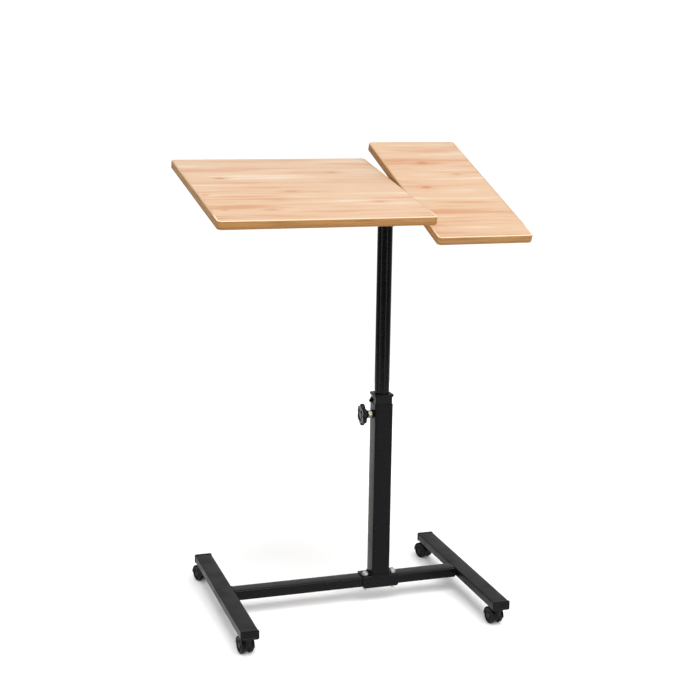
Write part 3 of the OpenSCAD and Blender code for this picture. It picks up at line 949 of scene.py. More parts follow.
class WeldBead(NodesTool):
    """Overlapping ripples of a weld along a path."""

    def __init__(self) -> None:
        """Builds the tree."""
        super().__init__("weld_bead")
        sheet = self.sheet
        width, pitch = self.input("Width", 0.004), self.input("Pitch", 0.0012)
        uneven, seed = self.input("Unevenness", 0.15), self.input("Seed", 3)
        path = sheet.out("GeometryNodeMeshToCurve", {0: Signal(sheet, self.start.outputs["Geometry"])})
        points = sheet.add("GeometryNodeCurveToPoints", {"Curve": path, "Length": pitch}, mode="LENGTH")
        ripple = sheet.out("GeometryNodeMeshUVSphere", {"Segments": 10, "Rings": 6, "Radius": width * 0.5})
        size = sheet.chance(1.0 - uneven, uneven + 1.0, seed)
        copies = {name: Signal(sheet, points.outputs[name]) for name in ("Points", "Rotation")}
        copies |= {"Instance": ripple, "Scale": sheet.combine(size, size, 0.75)}
        self.close(sheet.out("GeometryNodeInstanceOnPoints", copies))


class ScrewThread(NodesTool):
    """A thread that winds round a core, from the origin up the Z axis."""

    DEPTH: ClassVar[float] = 0.55

    def __init__(self) -> None:
        """Builds the tree; the thread's depth is a share of its pitch."""
        super().__init__("screw_thread")
        sheet = self.sheet
        radius, pitch = self.input("Radius", 0.004), self.input("Pitch", 0.00125)
        length = self.input("Length", 0.02)
        depth = pitch * self.DEPTH
        crest = radius - depth * 0.5
        helix = {"Resolution": 18, "Rotations": length / pitch, "Height": length}
        coil = sheet.out("GeometryNodeCurveSpiral", {**helix, "Start Radius": crest, "End Radius": crest})
        ridge = {"Resolution": 4, "Radius": depth * 0.5}
        profile = sheet.out("GeometryNodeCurvePrimitiveCircle", ridge, mode="RADIUS")
        wound = sheet.out("GeometryNodeCurveToMesh", {0: coil, 1: profile, "Fill Caps": True})
        rod = {"Vertices": 24, "Radius": radius - depth, "Depth": length}
        core = sheet.out("GeometryNodeMeshCylinder", rod)
        both = sheet.add("GeometryNodeJoinGeometry")
        for shell in (self.lift(core, length * 0.5), wound):
            sheet.feed(both.inputs[0], shell)
        self.close(Signal(sheet, both.outputs[0]))


class RibRing(NodesTool):
    """Ribs that stand round a ring in the XY plane, each pointing outwards."""

    def __init__(self) -> None:
        """Builds the tree."""
        super().__init__("rib_ring")
        sheet = self.sheet
        count, reach = self.input("Count", 6), self.input("Ring radius", 0.01)
        size, height = self.input("Rib size", ORIGIN), self.input("Height", 0.0)
        ring = sheet.out("GeometryNodeMeshCircle", {"Vertices": count, "Radius": reach})
        rib = sheet.out("GeometryNodeMeshCube", {"Size": size})
        x, y, _ = sheet.separate(sheet.out("GeometryNodeInputPosition"))
        spin = self.spin(sheet.math("ARCTAN2", y, x))
        ribs = sheet.out("GeometryNodeInstanceOnPoints", {"Points": ring, "Instance": rib, "Rotation": spin})
        self.close(self.lift(ribs, height))


class LobedDisc(NodesTool):
    """The lobed disc of a star knob: its rim follows a cosine rule, and its edge is rounded.

    A flat grid is bent into the disc. X goes round it, and Y goes from the middle of its lower face over the
    edge to the middle of its upper face.
    """

    FACE: ClassVar[float] = 0.32
    FLAT: ClassVar[float] = 0.79

    def __init__(self) -> None:
        """Builds the tree; each face takes a share of the way, and a share of the radius is flat."""
        super().__init__("lobed_disc")
        sheet, cosine = self.sheet, lambda angle: self.sheet.math("COSINE", angle)
        radius, depth = self.input("Radius", 0.0185), self.input("Lobe depth", 0.003)
        thick, dish = self.input("Thickness", 0.005), self.input("Dish depth", 0.0015)
        lobes = self.input("Lobes", 6)
        size = {"Size X": 1.0, "Size Y": 1.0, "Vertices X": 145, "Vertices Y": 57}
        grid = sheet.out("GeometryNodeMeshGrid", size)
        x, y, _ = sheet.separate(sheet.out("GeometryNodeInputPosition"))
        angle, way = x * (2 * pi), y + 0.5
        below = sheet.math("DIVIDE", way, self.FACE, clamp=True)
        above = sheet.math("DIVIDE", 1.0 - way, self.FACE, clamp=True)
        over = sheet.math("DIVIDE", way - self.FACE, 1 - 2 * self.FACE, clamp=True)
        rise = (over - 0.5) * pi
        swell = sheet.math("POWER", sheet.math("ABSOLUTE", cosine(rise)), 0.7) * (1 - self.FLAT)
        share = sheet.math("MINIMUM", below, above) * self.FLAT + swell
        dip = sheet.math("POWER", 0.5 - cosine(angle * lobes) * 0.5, 1.5)
        out = share * (radius - depth * (dip * sheet.spread(share, 0.45, 1.0)))
        up = sheet.math("SINE", rise)
        full = sheet.math("POWER", sheet.math("ABSOLUTE", up), 0.6) * sheet.math("SIGN", up)
        hollow = sheet.spread(share, 0.62, 0.47) * sheet.spread(way, 0.60, 0.70)
        level = full * (thick * 0.5) - hollow * dish
        place = sheet.combine(out * cosine(angle), out * sheet.math("SINE", angle), level)
        bent = sheet.out("GeometryNodeSetPosition", {"Geometry": grid, "Position": place})
        self.close(sheet.out("GeometryNodeMergeByDistance", {"Geometry": bent, "Distance": 0.02 * MM}))


@dataclass
class ToolBox:
    """The geometry nodes tools, each built once."""

    grid: PartGrid = field(default_factory=PartGrid)
    bead: WeldBead = field(default_factory=WeldBead)
    thread: ScrewThread = field(default_factory=ScrewThread)
    ribs: RibRing = field(default_factory=RibRing)
    lobes: LobedDisc = field(default_factory=LobedDisc)

    def repeat(
        self, name: str, part: Shape, finish: Finish, body: Body, node: str, first: Vector, step: Vector,
        count: int = 2, row_step: Vector = Vector(), rows: int = 1, facing: Triple = ORIGIN,
        loose: float = 25.0, seed: int = 7,
    ) -> None:
        """Builds a piece from copies of a part on a grid of places.

        Args:
            name: The piece's name.
            part: The part, drawn at the origin along +Z.
            finish: Its finish.
            body: Body that carries the piece.
            node: Frame node that it stands for.
            first: First place, in millimetres.
            step: Step to the next place, in millimetres.
            count: Places in a row.
            row_step: Step to the next row, in millimetres.
            rows: Rows.
            facing: Turn about X, Y and Z in degrees that each copy gets.
            loose: Largest turn that a copy may have about its own axis, in degrees.
            seed: Seed of those turns.
        """
        pattern = link("pattern", part.mesh("pattern"))
        copies = self.grid.run(
            finish,
            Part=pattern,
            First=tuple(first * MM),
            Step=tuple(step * MM),
            Row_step=tuple(row_step * MM),
            Count=count,
            Rows=rows,
            Facing=tuple(radians(a) for a in facing),
            Turn=radians(loose),
            Seed=seed,
        )
        used = pattern.data
        bpy.data.objects.remove(pattern)
        bpy.data.meshes.remove(used)
        fit(name, copies, finish, body, node)

    def weld(
        self, name: str, body: Body, paths: Sequence[Sequence[Vector]], closed: bool, width: float, seed: int
    ) -> None:
        """Builds a piece from weld beads.

        Args:
            name: The piece's name.
            body: Body that carries it.
            paths: Points of each bead's path in the frame, in millimetres.
            closed: True if each path comes back to its start.
            width: Width of the beads, in millimetres.
            seed: Seed of their unevenness.
        """
        start = bpy.data.meshes.new("weld_path")
        edges, first = [], 0
        for path in paths:
            last = first + len(path) - 1
            edges += [(i, i + 1) for i in range(first, last)] + ([(last, first)] if closed else [])
            first = last + 1
        start.from_pydata([point * MM for path in paths for point in path], edges, [])
        beads = self.bead.run(COAT, start, Width=width * MM, Pitch=width * MM * 0.32, Seed=seed)
        fit(name, beads, COAT, body, sharp=60)

    def wind(self, shape: Shape, radius: float, pitch: float, low: float, high: float) -> None:
        """Winds a thread round a shape's Z axis.

        Args:
            shape: The shape.
            radius: Outer radius of the thread.
            pitch: Its pitch.
            low: Where it starts.
            high: Where it ends.
        """
        thread = self.thread.run(ZINC, Radius=radius * MM, Pitch=pitch * MM, Length=(high - low) * MM)
        shape.absorb(thread, shift(0, 0, low))


# Fasteners


@dataclass
class HexBolt:
    """Hexagon head bolt along Z: its seat is at 0, its head above and its threaded shank below."""

    diameter: float = 6.0
    flats: float = 10.0
    head: float = 4.0
    length: float = 31.5
    threaded: float = 12.0
    pitch: float = 1.0
    point: float = 0.6

    def shape(self, tools: ToolBox) -> Shape:
        """Returns the bolt with its chamfered head and its thread."""
        shape = Shape()
        head_shell(shape, self.flats, self.head)
        plain, end, radius = self.threaded - self.length, -self.length, self.diameter / 2
        shape.revolve([(0, 0.05), (radius, 0.05), (radius, plain), (0, plain)], 24)
        tools.wind(shape, radius, self.pitch, end + self.point, plain)
        tip, start = radius - ScrewThread.DEPTH * self.pitch, end + self.point + 0.1
        shape.revolve([(0, end), (tip - 0.5, end), (tip, start), (0, start)], 24)
        return shape


@dataclass
class HexNut:
    """Hexagon nut along Z, from 0 up."""

    flats: float = 10.0
    height: float = 5.0
    bore: float = 3.05

    def shape(self, place: Matrix | None = None) -> Shape:
        """Returns the nut where a matrix says."""
        shape = Shape(place)
        head_shell(shape, self.flats, self.height, self.bore)
        return shape


def head_shell(shape: Shape, flats: float, high: float, bore: float = 0.0) -> None:
    """Adds a hexagon with chamfered corners, from 0 up.

    Args:
        shape: Shape to add to.
        flats: Width across flats.
        high: Height of the upper face.
        bore: Radius of a nut's hole, or 0 for a bolt's head, whose lower corners are sharp.
    """
    steps, sixth, flat = 60, pi / 3, 0.47 * flats
    slope = tan(radians(28))

    def corners(height: float, way: int) -> list[Vector]:
        """Returns the ring where the flats end; way is 1 above, -1 below and 0 for sharp corners."""
        ring = []
        for i in range(steps):
            a = 2 * pi * i / steps
            reach = flats / 2 / cos(a % sixth - sixth / 2)
            drop = way * max(0.0, reach - flat) * slope
            ring.append(Vector((reach * cos(a), reach * sin(a), height - drop)))
        return ring

    above = [corners(high, 1), circle(flat, high, steps)]
    if bore:
        hole = [(bore + 0.5, high), (bore, high - 0.5), (bore, 0.5)]
        rings = [circle(bore + 0.5, 0.0, steps), circle(flat, 0.0, steps), corners(0.0, -1), *above]
        shape.skin([*rings, *(circle(radius, height, steps) for radius, height in hole)], join=True)
    else:
        shape.skin([corners(0.0, 0), *above, [Vector((0, 0, high))]])


def washer_shape(outer: float, inner: float, top: float) -> Shape:
    """Returns a washer along Z, from 0 up, with rounded edges on its pressed side.

    Args:
        outer: Outer radius.
        inner: Radius of the hole.
        top: Its thickness.

    Returns:
        The washer.
    """
    shape = Shape()
    pressed = [(outer, top - 0.35), (outer - 0.1, top - 0.1), (outer - 0.35, top), (inner + 0.1, top)]
    shape.revolve([(inner, 0), (outer, 0), *pressed, (inner, top - 0.1)], 40, join=True)
    return shape


@dataclass
class PanScrew:
    """Pan head wood screw with a cross recess: its seat is at 0, its head above and its shank below."""

    diameter: float = 4.0
    head: float = 2.4
    length: float = 15.0
    pitch: float = 1.6
    point: float = 3.0
    recess_width: float = 0.84
    recess_depth: float = 1.1

    DOME: ClassVar[Sequence[tuple[float, float]]] = (
        *((1, 0), (1, 0.25), (0.97, 0.5), (0.85, 0.74)),
        *((0.66, 0.9), (0.44, 0.97), (0.3, 1), (0.15, 1)),
    )

    def shape(self, tools: ToolBox) -> Shape:
        """Returns the screw; its head follows DOME, pairs of a share of the radius and of the height."""
        shape = Shape()
        rings = [[Vector((0, 0, 0))]]
        for wide, high in self.DOME:
            ring = circle(wide * self.diameter, high * self.head, 40)
            for point in ring:
                if min(abs(point.x), abs(point.y)) < self.recess_width / 2 and wide < 0.6:
                    point.z -= self.recess_depth
            rings.append(ring)
        shape.skin([*rings, [Vector((0, 0, self.head - 1.2))]])
        end, core = -self.length, self.diameter / 2 - 0.1
        tools.wind(shape, self.diameter / 2, self.pitch, end + self.point, 0)
        shape.revolve([(0, end), (1.4, end + self.point + 0.2), (0, end + self.point + 0.2)], 16)
        shape.revolve([(0, 0.1), (core, 0.1), (core, -1), (0, -1)], 16)
        return shape


# Sub-assemblies


@dataclass(kw_only=True)
class Assembly:
    """A sub-assembly: its tools, and the sizes where one sub-assembly meets another."""

    tools: ToolBox
    mast_x: float = 78.5
    back: float = 3.0
    mast_side: float = 35.0
    mast_corner: float = 4.0
    tube_radius: float = 14.0
    pivot_z: float = 759.0
    pivot_radius: float = 11.0
    stud_radius: float = 4.0
    nut_flats: float = 13.0
    nut_height: float = 7.5
    nut: float = 5.0
    bolt_end: float = 3.5


def fold(
    shape: Shape, half: float, flange: float, corner: float, section: Callable[[float, float], Outline]
) -> None:
    """Skins a folded channel along X, with round free corners on its flanges.

    Args:
        shape: Shape to add to.
        half: Half the channel's length.
        flange: How far the flanges reach.
        corner: Radius of their free corners.
        section: Gives the section in the YZ plane for a place along X and a reach of the flanges.
    """
    rings = []
    for x, reach in arc(corner - half, flange - corner, corner, 180, -90, 7):
        rings.append([Vector((x, y, z)) for y, z in section(x, reach)])
    mirrored = [[Vector((-p.x, p.y, p.z)) for p in ring] for ring in reversed(rings)]
    shape.skin([*rings, *mirrored])


@dataclass
class Base(Assembly):
    """Two legs, the crossbar between them and the saddle that holds the foot of the mast."""

    centre_x: float = 12.5
    leg_length: float = 390.0
    leg_width: float = 32.0
    leg_height: float = 16.0
    leg_wall: float = 1.5
    leg_corner: float = 2.0
    leg_spacing: float = 475.0
    leg_bottom: float = 35.0
    cap: float = 3.0
    cap_depth: float = 8.0
    cap_lip: float = 1.0
    cross_depth: float = 30.0
    cross_height: float = 20.0
    cross_wall: float = 1.5
    cross_corner: float = 4.0
    saddle_length: float = 72.0
    saddle_sheet: float = 2.5
    saddle_drop: float = 22.0
    saddle_bend: float = 3.2
    saddle_corner: float = 5.0
    bolt_offset: float = 28.0
    bolt_forward: float = 6.0
    bolt: float = 6.0
    washer: float = 1.0
    washer_radius: float = 6.0
    caster_y: float = 178.0
    socket_radius: float = 5.5
    socket_flange_radius: float = 8.0
    socket_flange: float = 1.5
    socket_depth: float = 14.2
    stem_radius: float = 4.05

    @property
    def leg_top(self) -> float:
        """Height of the legs' and the crossbar's upper faces."""
        return self.leg_bottom + self.leg_height

    @property
    def saddle_top(self) -> float:
        """Height of the saddle's upper face, where the mast stands."""
        return self.leg_top + self.saddle_sheet

    @property
    def cross_half(self) -> float:
        """Half the crossbar's length."""
        return (self.leg_spacing - self.leg_width) / 2

    def build(self) -> None:
        """Builds and dresses every piece."""
        self.legs()
        self.end_caps()
        self.crossbar()
        self.leg_welds()
        self.saddle()
        self.mast_weld()
        self.fasteners()
        self.sockets()

    def leg_place(self, side: Side, y: float = 0.0) -> Matrix:
        """Returns the matrix to a place on a leg's middle line."""
        return shift(self.leg_x(side), y, self.leg_bottom + self.leg_height / 2)

    def leg_x(self, side: Side) -> float:
        """Returns the middle of a leg along X."""
        return self.centre_x + side.value * self.leg_spacing / 2

    def leg_outline(self, inset: float) -> Outline:
        """Returns a leg's outline, drawn in by an inset."""
        return box(self.leg_width, self.leg_height, self.leg_corner)(inset)

    def legs(self) -> None:
        """Builds the two rectangular tubes."""
        half = self.leg_length / 2 - self.cap
        for side in Side:
            shape = Shape(self.leg_place(side) @ turn("X", 90))
            shape.tube(self.leg_outline, self.leg_outline(self.leg_wall), -half, half, 0.25)
            name = side.name.lower()
            fit(f"{name}_leg_tube", shape, LEG_COAT, Body.BASE, f"{name}_leg")

    def end_caps(self) -> None:
        """Builds the four plastic caps, each with a shallow panel in its face and a plug in the tube."""
        shape = Shape()
        for side in Side:
            for end in End:
                tube_end = end.value * (self.leg_length / 2 - self.cap)
                shape.place = self.leg_place(side, tube_end) @ turn("X", -90 * end.value)
                shape.slab(lambda i: self.leg_outline(i - self.cap_lip), 0, self.cap, 0.9, dish=(2.4, 0.45))
                shape.slab(lambda i: self.leg_outline(i + self.leg_wall + 0.1), -self.cap_depth, 0.1, 0.8)
        fit("leg_end_plugs", shape, PLASTIC, Body.BASE, "leg_end_caps")

    def crossbar(self) -> None:
        """Builds the crossbar's tube."""
        shape = Shape(shift(self.centre_x, self.back, self.leg_top - self.cross_height / 2) @ turn("Y", 90))
        outline = box(self.cross_height, self.cross_depth, self.cross_corner)
        shape.tube(outline, outline(self.cross_wall), -self.cross_half, self.cross_half, 0.2)
        fit("crossbar_tube", shape, CROSS_COAT, Body.BASE, "crossbar")

    def leg_welds(self) -> None:
        """Lays the welds up the crossbar's sides where it meets the legs."""
        face, corner = self.cross_depth / 2, self.cross_corner
        rise = arc(face - corner, self.leg_top - corner - 0.7, corner, 0, 90, 5)
        points = [(face, self.leg_bottom + 1.5), *rise]
        paths = []
        for side in Side:
            x = self.centre_x + side.value * (self.cross_half - 0.2)
            paths += [[Vector((x, self.back + end.value * y, z)) for y, z in points] for end in End]
        self.tools.weld("leg_welds", Body.BASE, paths, False, 3.4, 11)

    def saddle(self) -> None:
        """Builds the folded saddle: its bends are round, and so are its flanges' free corners."""
        inner = self.cross_depth / 2 + 0.1
        outer, bend = inner + self.saddle_sheet, 0.7
        over, under, level = outer - self.saddle_bend, inner - bend, self.saddle_sheet - self.saddle_bend

        def section(_: float, fall: float) -> Outline:
            """Returns the channel's section with flanges that fall that far."""
            points = arc(over, level, self.saddle_bend, 0, 90, 6)
            points += arc(-over, level, self.saddle_bend, 90, 90, 6)
            points += [(-outer, -fall), (-inner, -fall)]
            points += arc(-under, -bend, bend, 180, -90, 3) + arc(under, -bend, bend, 90, -90, 3)
            return [*points, (inner, -fall), (outer, -fall)]

        shape = Shape(shift(self.mast_x, self.back, self.leg_top))
        fold(shape, self.saddle_length / 2, self.saddle_drop, self.saddle_corner, section)
        fit("mast_saddle_channel", shape, CROSS_COAT, Body.BASE, "mast_saddle", soften=0.35)

    def mast_weld(self) -> None:
        """Lays the weld round the foot of the mast."""
        outline = rounded(self.mast_side, self.mast_side, self.mast_corner, 4)
        path = [Vector((self.mast_x + x, self.back + y, self.saddle_top + 0.2)) for x, y in outline]
        self.tools.weld("mast_foot_weld", Body.BASE, [path], True, 3.6, 5)

    def fasteners(self) -> None:
        """Puts the two foot bolts with their washers and nuts in place."""
        apart = Vector((2 * self.bolt_offset, 0, 0))
        under = self.leg_top - self.cross_height

        def start(height: float) -> Vector:
            """Returns the left bolt's axis at a height."""
            return Vector((self.mast_x - self.bolt_offset, self.back - self.bolt_forward, height))

        grip = self.saddle_sheet + self.cross_height + 2 * self.washer
        bolt = HexBolt(self.bolt, length=grip + self.nut + self.bolt_end).shape(self.tools)
        seat = start(self.saddle_top + self.washer)
        self.tools.repeat("foot_hex_bolts", bolt, ZINC, Body.BASE, "foot_bolts", seat, apart, seed=4)
        washer = washer_shape(self.washer_radius, self.bolt / 2 + 0.2, self.washer)
        low, rise = start(under - self.washer), Vector((0, 0, self.saddle_top - under + self.washer))
        part = ("foot_plain_washers", washer, ZINC, Body.BASE, "foot_washers")
        self.tools.repeat(*part, low, apart, row_step=rise, rows=2, loose=90)
        nut, seat = HexNut(height=self.nut).shape(), start(under - self.washer - self.nut)
        self.tools.repeat("foot_hex_nuts", nut, ZINC, Body.BASE, "foot_nuts", seat, apart, seed=9)

    def sockets(self) -> None:
        """Presses the four caster sockets into the legs' undersides."""
        shape = Shape()
        bore, outer, flange = self.stem_radius, self.socket_radius, self.socket_flange_radius
        seat, top = self.socket_flange - 0.1, self.socket_flange + self.socket_depth
        profile = [(bore, top - 1), (bore, 0.6), (bore + 0.6, 0), (flange - 0.4, 0), (flange, 0.4)]
        profile += [(flange, seat), (outer, seat), (outer, top), (0, top), (0, top - 1)]
        shape.revolve(profile, 40)
        first = Vector((self.leg_x(Side.LEFT), -self.caster_y, self.leg_bottom - self.socket_flange))
        steps = {"step": Vector((self.leg_spacing, 0, 0)), "row_step": Vector((0, 2 * self.caster_y, 0))}
        part = ("caster_stem_sockets", shape, PLASTIC)
        self.tools.repeat(*part, Body.BASE, "caster_sockets", first, **steps, rows=2, loose=0)


@dataclass
class Mast(Assembly):
    """The square lower mast with its collar and boss, and the round upper mast that slides in it."""

    foot: float = 53.5
    length: float = 338.0
    wall: float = 1.5
    tube_wall: float = 1.5
    tube_low: float = 230.0
    tube_high: float = 745.0
    neck_height: float = 14.0
    neck_side: float = 33.0
    lip_height: float = 5.0
    lip_side: float = 37.0
    collar_depth: float = 40.0
    lug_reach: float = 3.3
    lug_width: float = 6.0
    lug_height: float = 10.0
    lug_tip: float = 3.0
    clamp_height: float = 370.5
    boss_radius: float = 8.0
    boss_height: float = 2.5

    @property
    def top(self) -> float:
        """Height of the lower mast's upper end."""
        return self.foot + self.length

    @property
    def seat(self) -> float:
        """Distance from the mast's axis to the outer face of the boss."""
        return self.mast_side / 2 + self.boss_height

    @property
    def clamp_place(self) -> Matrix:
        """Matrix that lays the drawing's Z axis on the height clamp's, from the mast's axis to the left."""
        return shift(self.mast_x, self.back, self.clamp_height) @ turn("Y", -90)

    def build(self) -> None:
        """Builds and dresses every piece."""
        self.lower_tube()
        self.collar()
        self.upper_tube()
        self.boss()
        dress("glide_plug", PLASTIC)

    def lower_tube(self) -> None:
        """Builds the square lower tube."""
        shape = Shape(shift(self.mast_x, self.back, 0))
        outline = box(self.mast_side, self.mast_side, self.mast_corner, 8)
        shape.tube(outline, outline(self.wall), self.foot, self.top)
        fit("lower_mast_tube", shape, MAST_COAT, Body.BASE, "lower_mast")

    def collar(self) -> None:
        """Builds the collar with its neck, its rounded lip and its locking lug."""
        shape = Shape(shift(self.mast_x, self.back, 0))
        spigot, bore = self.mast_side - 2 * self.wall - 0.3, self.tube_radius + 0.05
        neck, lip, corner = self.neck_side, self.lip_side, self.mast_corner
        low, top, neck_top = self.top - self.collar_depth, self.top, self.top + self.neck_height
        lip_top = neck_top + self.lip_height
        squares = (
            (spigot, corner - self.wall, low),
            (spigot, corner - self.wall, top),
            (neck, corner, top),
            (neck, corner, neck_top - 0.6),
            (neck + 0.6, corner, neck_top - 0.1),
            (lip - 1.4, corner - 0.5, neck_top),
            (lip - 0.3, corner, neck_top + 0.4),
            (lip, corner, neck_top + 1.0),
            (lip, corner, lip_top - 1.3),
            (lip - 0.6, corner - 0.2, lip_top - 0.5),
            (lip - 1.8, corner - 0.7, lip_top - 0.1),
            (lip - 2.8, corner - 1.0, lip_top),
            (2 * bore + 1.8, bore + 0.9, lip_top),
            (2 * bore, bore, lip_top - 0.9),
            (2 * bore, bore, low),
        )
        rings = [shape.ring(rounded(size, size, radius, 8), height) for size, radius, height in squares]
        shape.skin(rings, join=True)
        self.lug(shape)
        fit("mast_collar_moulding", shape, PLASTIC, Body.BASE, "mast_collar", sharp=40)

    def lug(self, shape: Shape) -> None:
        """Adds the locking lug: a wedge on the neck's left face that overhangs the lower mast."""
        tip, root = -self.mast_side / 2 - self.lug_reach, -self.neck_side / 2 + 1
        top, wide = self.lug_height, self.lug_width
        wedge = [(root + 1, 0), (root + 1, top), (root - 1, top), (tip, self.lug_tip), (tip, 0)]
        outline = blunted(wedge, 0.7)
        middle = Vector(((tip + root) / 2, top * 0.35))
        rear = self.back + self.mast_side / 2 - self.mast_corner
        shape.place = shift(self.mast_x, rear, self.top) @ turn("X", 90)
        eased = ((0, 0.90), (0.15, 0.96), (0.5, 1))
        rings = []
        for depth, scale in (*eased, *((wide - depth, scale) for depth, scale in reversed(eased))):
            points = [tuple(middle + (Vector(p) - middle) * scale) for p in outline]
            rings.append(shape.ring(points, depth))
        shape.skin(rings)

    def upper_tube(self) -> None:
        """Builds the round sliding tube."""
        shape = Shape(shift(self.mast_x, self.back, 0))
        radius, low, high = self.tube_radius, self.tube_low, self.tube_high
        shape.revolve(pipe(radius - self.tube_wall, radius, low, high, 0.3), 96, join=True)
        fit("upper_mast_tube", shape, TUBE_COAT, Body.HEAD, "upper_mast")

    def boss(self) -> None:
        """Builds the welded boss and the zinc nut of the height clamp."""
        place, outer, low, high = self.clamp_place, self.boss_radius, self.mast_side / 2, self.seat
        bore = self.stud_radius + 0.5
        shape = Shape(place)
        profile = [(bore, low), (outer, low), (outer, high - 0.6), (outer - 0.6, high), (bore, high)]
        shape.revolve(profile, join=True)
        fit("height_clamp_boss", shape, COAT, Body.BASE, "clamp_boss")
        path = [place @ point for point in circle(outer, low + 0.1, 32)]
        self.tools.weld("height_clamp_weld", Body.BASE, [path], True, 1.8, 2)
        nut = HexNut(self.nut_flats, self.nut_height, self.stud_radius + 0.05)
        shape = nut.shape(place @ shift(0, 0, high) @ turn("Z", 90))
        fit("height_clamp_nut", shape, YELLOW_ZINC, Body.BASE, "clamp_nut")


@dataclass
class Head(Assembly):
    """The channel on top of the upper mast, its cross bolts and the pivot tube that carries both tops."""

    seat: float = 745.0
    length: float = 52.0
    sheet: float = 3.0
    rise: float = 8.0
    bend: float = 4.0
    corner: float = 6.0
    sleeve: float = 20.0
    sleeve_wall: float = 3.0
    pivot_wall: float = 1.5
    pivot_left: float = -185.0
    pivot_right: float = 245.0
    cap_radius: float = 13.5
    cap_lip: float = 2.5
    cap_depth: float = 12.0
    bolt_offset: float = 17.0

    @property
    def half_inner(self) -> float:
        """Half the channel's clear width."""
        return self.pivot_radius + 0.1

    @property
    def half_outer(self) -> float:
        """Half the channel's outer width."""
        return self.half_inner + self.sheet

    @property
    def sleeve_radius(self) -> float:
        """Outer radius of the sleeve on the upper mast."""
        return self.tube_radius + self.sleeve_wall

    def build(self) -> None:
        """Builds and dresses every piece."""
        self.channel()
        self.sleeve_weld()
        self.cross_bolts()
        self.pivot_tube()
        self.end_plugs()

    def channel(self) -> None:
        """Builds the folded channel, with round free corners, and the sleeve under it."""
        shape = Shape(shift(self.mast_x, self.back, self.seat))
        outer, inner, sheet, bend = self.half_outer, self.half_inner, self.sheet, self.bend

        def section(_: float, height: float) -> Outline:
            """Returns the channel's section with walls of that height."""
            points = [(outer, height), (inner, height)]
            points += arc(inner - 1, sheet + 1, 1, 0, -90, 3) + arc(1 - inner, sheet + 1, 1, -90, -90, 3)
            points += [(-inner, height), (-outer, height)]
            points += arc(bend - outer, bend, bend, 180, 90, 6)
            return points + arc(outer - bend, bend, bend, 270, 90, 6)

        fold(shape, self.length / 2, sheet + self.pivot_radius + self.rise, self.corner, section)
        bore, reach, low = self.tube_radius, self.sleeve_radius, -self.sleeve
        profile = [(bore, low + 0.4), (bore + 0.4, low), (reach - 0.5, low), (reach, low + 0.5)]
        shape.revolve([*profile, (reach, 0.5), (bore, 0.5)], 72, join=True)
        fit("mast_head_channel", shape, COAT, Body.HEAD, "mast_head", soften=0.3)

    def sleeve_weld(self) -> None:
        """Lays the weld between the sleeve and the channel, where the channel is wide enough for it."""
        paths = []
        for middle in (0.0, pi):
            angles = [middle - 0.95 + 1.9 * i / 20 for i in range(21)]
            points = [Vector((cos(a), sin(a) * 0.86, 0)) * self.sleeve_radius for a in angles]
            paths.append([Vector((self.mast_x, self.back, self.seat)) + point for point in points])
        self.tools.weld("mast_head_weld", Body.HEAD, paths, False, 3.0, 8)

    def cross_bolts(self) -> None:
        """Puts the two cross bolts and their nuts in place."""
        grid = {"step": Vector((2 * self.bolt_offset, 0, 0)), "facing": (90, 0, 0)}
        first = Vector((self.mast_x - self.bolt_offset, self.back, self.pivot_z))
        bolt = HexBolt(length=2 * self.half_outer + self.nut + self.bolt_end).shape(self.tools)
        seat = first - Vector((0, self.half_outer, 0))
        self.tools.repeat("head_cross_bolts", bolt, ZINC, Body.HEAD, "head_bolts", seat, **grid, seed=13)
        nut = HexNut(height=self.nut).shape()
        seat = first + Vector((0, self.half_outer + self.nut, 0))
        self.tools.repeat("head_cross_nuts", nut, ZINC, Body.HEAD, "head_nuts", seat, **grid, seed=21)

    def pivot_tube(self) -> None:
        """Builds the pivot tube."""
        shape = Shape(shift(0, self.back, self.pivot_z) @ turn("Y", 90))
        radius, low, high = self.pivot_radius, self.pivot_left, self.pivot_right
        shape.revolve(pipe(radius - self.pivot_wall, radius, low, high, 0.3), 72, join=True)
        fit("pivot_tube_steel", shape, CROSS_COAT, Body.HEAD, "pivot_tube")

    def end_plugs(self) -> None:
        """Builds the plugs in the pivot tube's ends, each with a dished face."""
        shape = Shape()
        lip, face, depth = self.cap_radius, self.cap_lip, self.cap_depth
        plug = self.pivot_radius - self.pivot_wall - 0.05
        profile = [(0, -depth), (plug - 0.8, -depth), (plug, 1.2 - depth), (plug, 0), (lip, 0)]
        profile += [(lip, face - 1.1), (lip - 0.35, face - 0.35), (lip - 1.1, face)]
        profile += [(lip - 3.4, face), (lip - 3.9, face - 0.5)]
        for x, way in ((self.pivot_left, -90), (self.pivot_right, 90)):
            shape.place = shift(x, self.back, self.pivot_z) @ turn("Y", way)
            shape.revolve([*profile, (0, face - 0.8)], 56)
        fit("pivot_end_plugs", shape, PLASTIC, Body.HEAD, "pivot_caps")


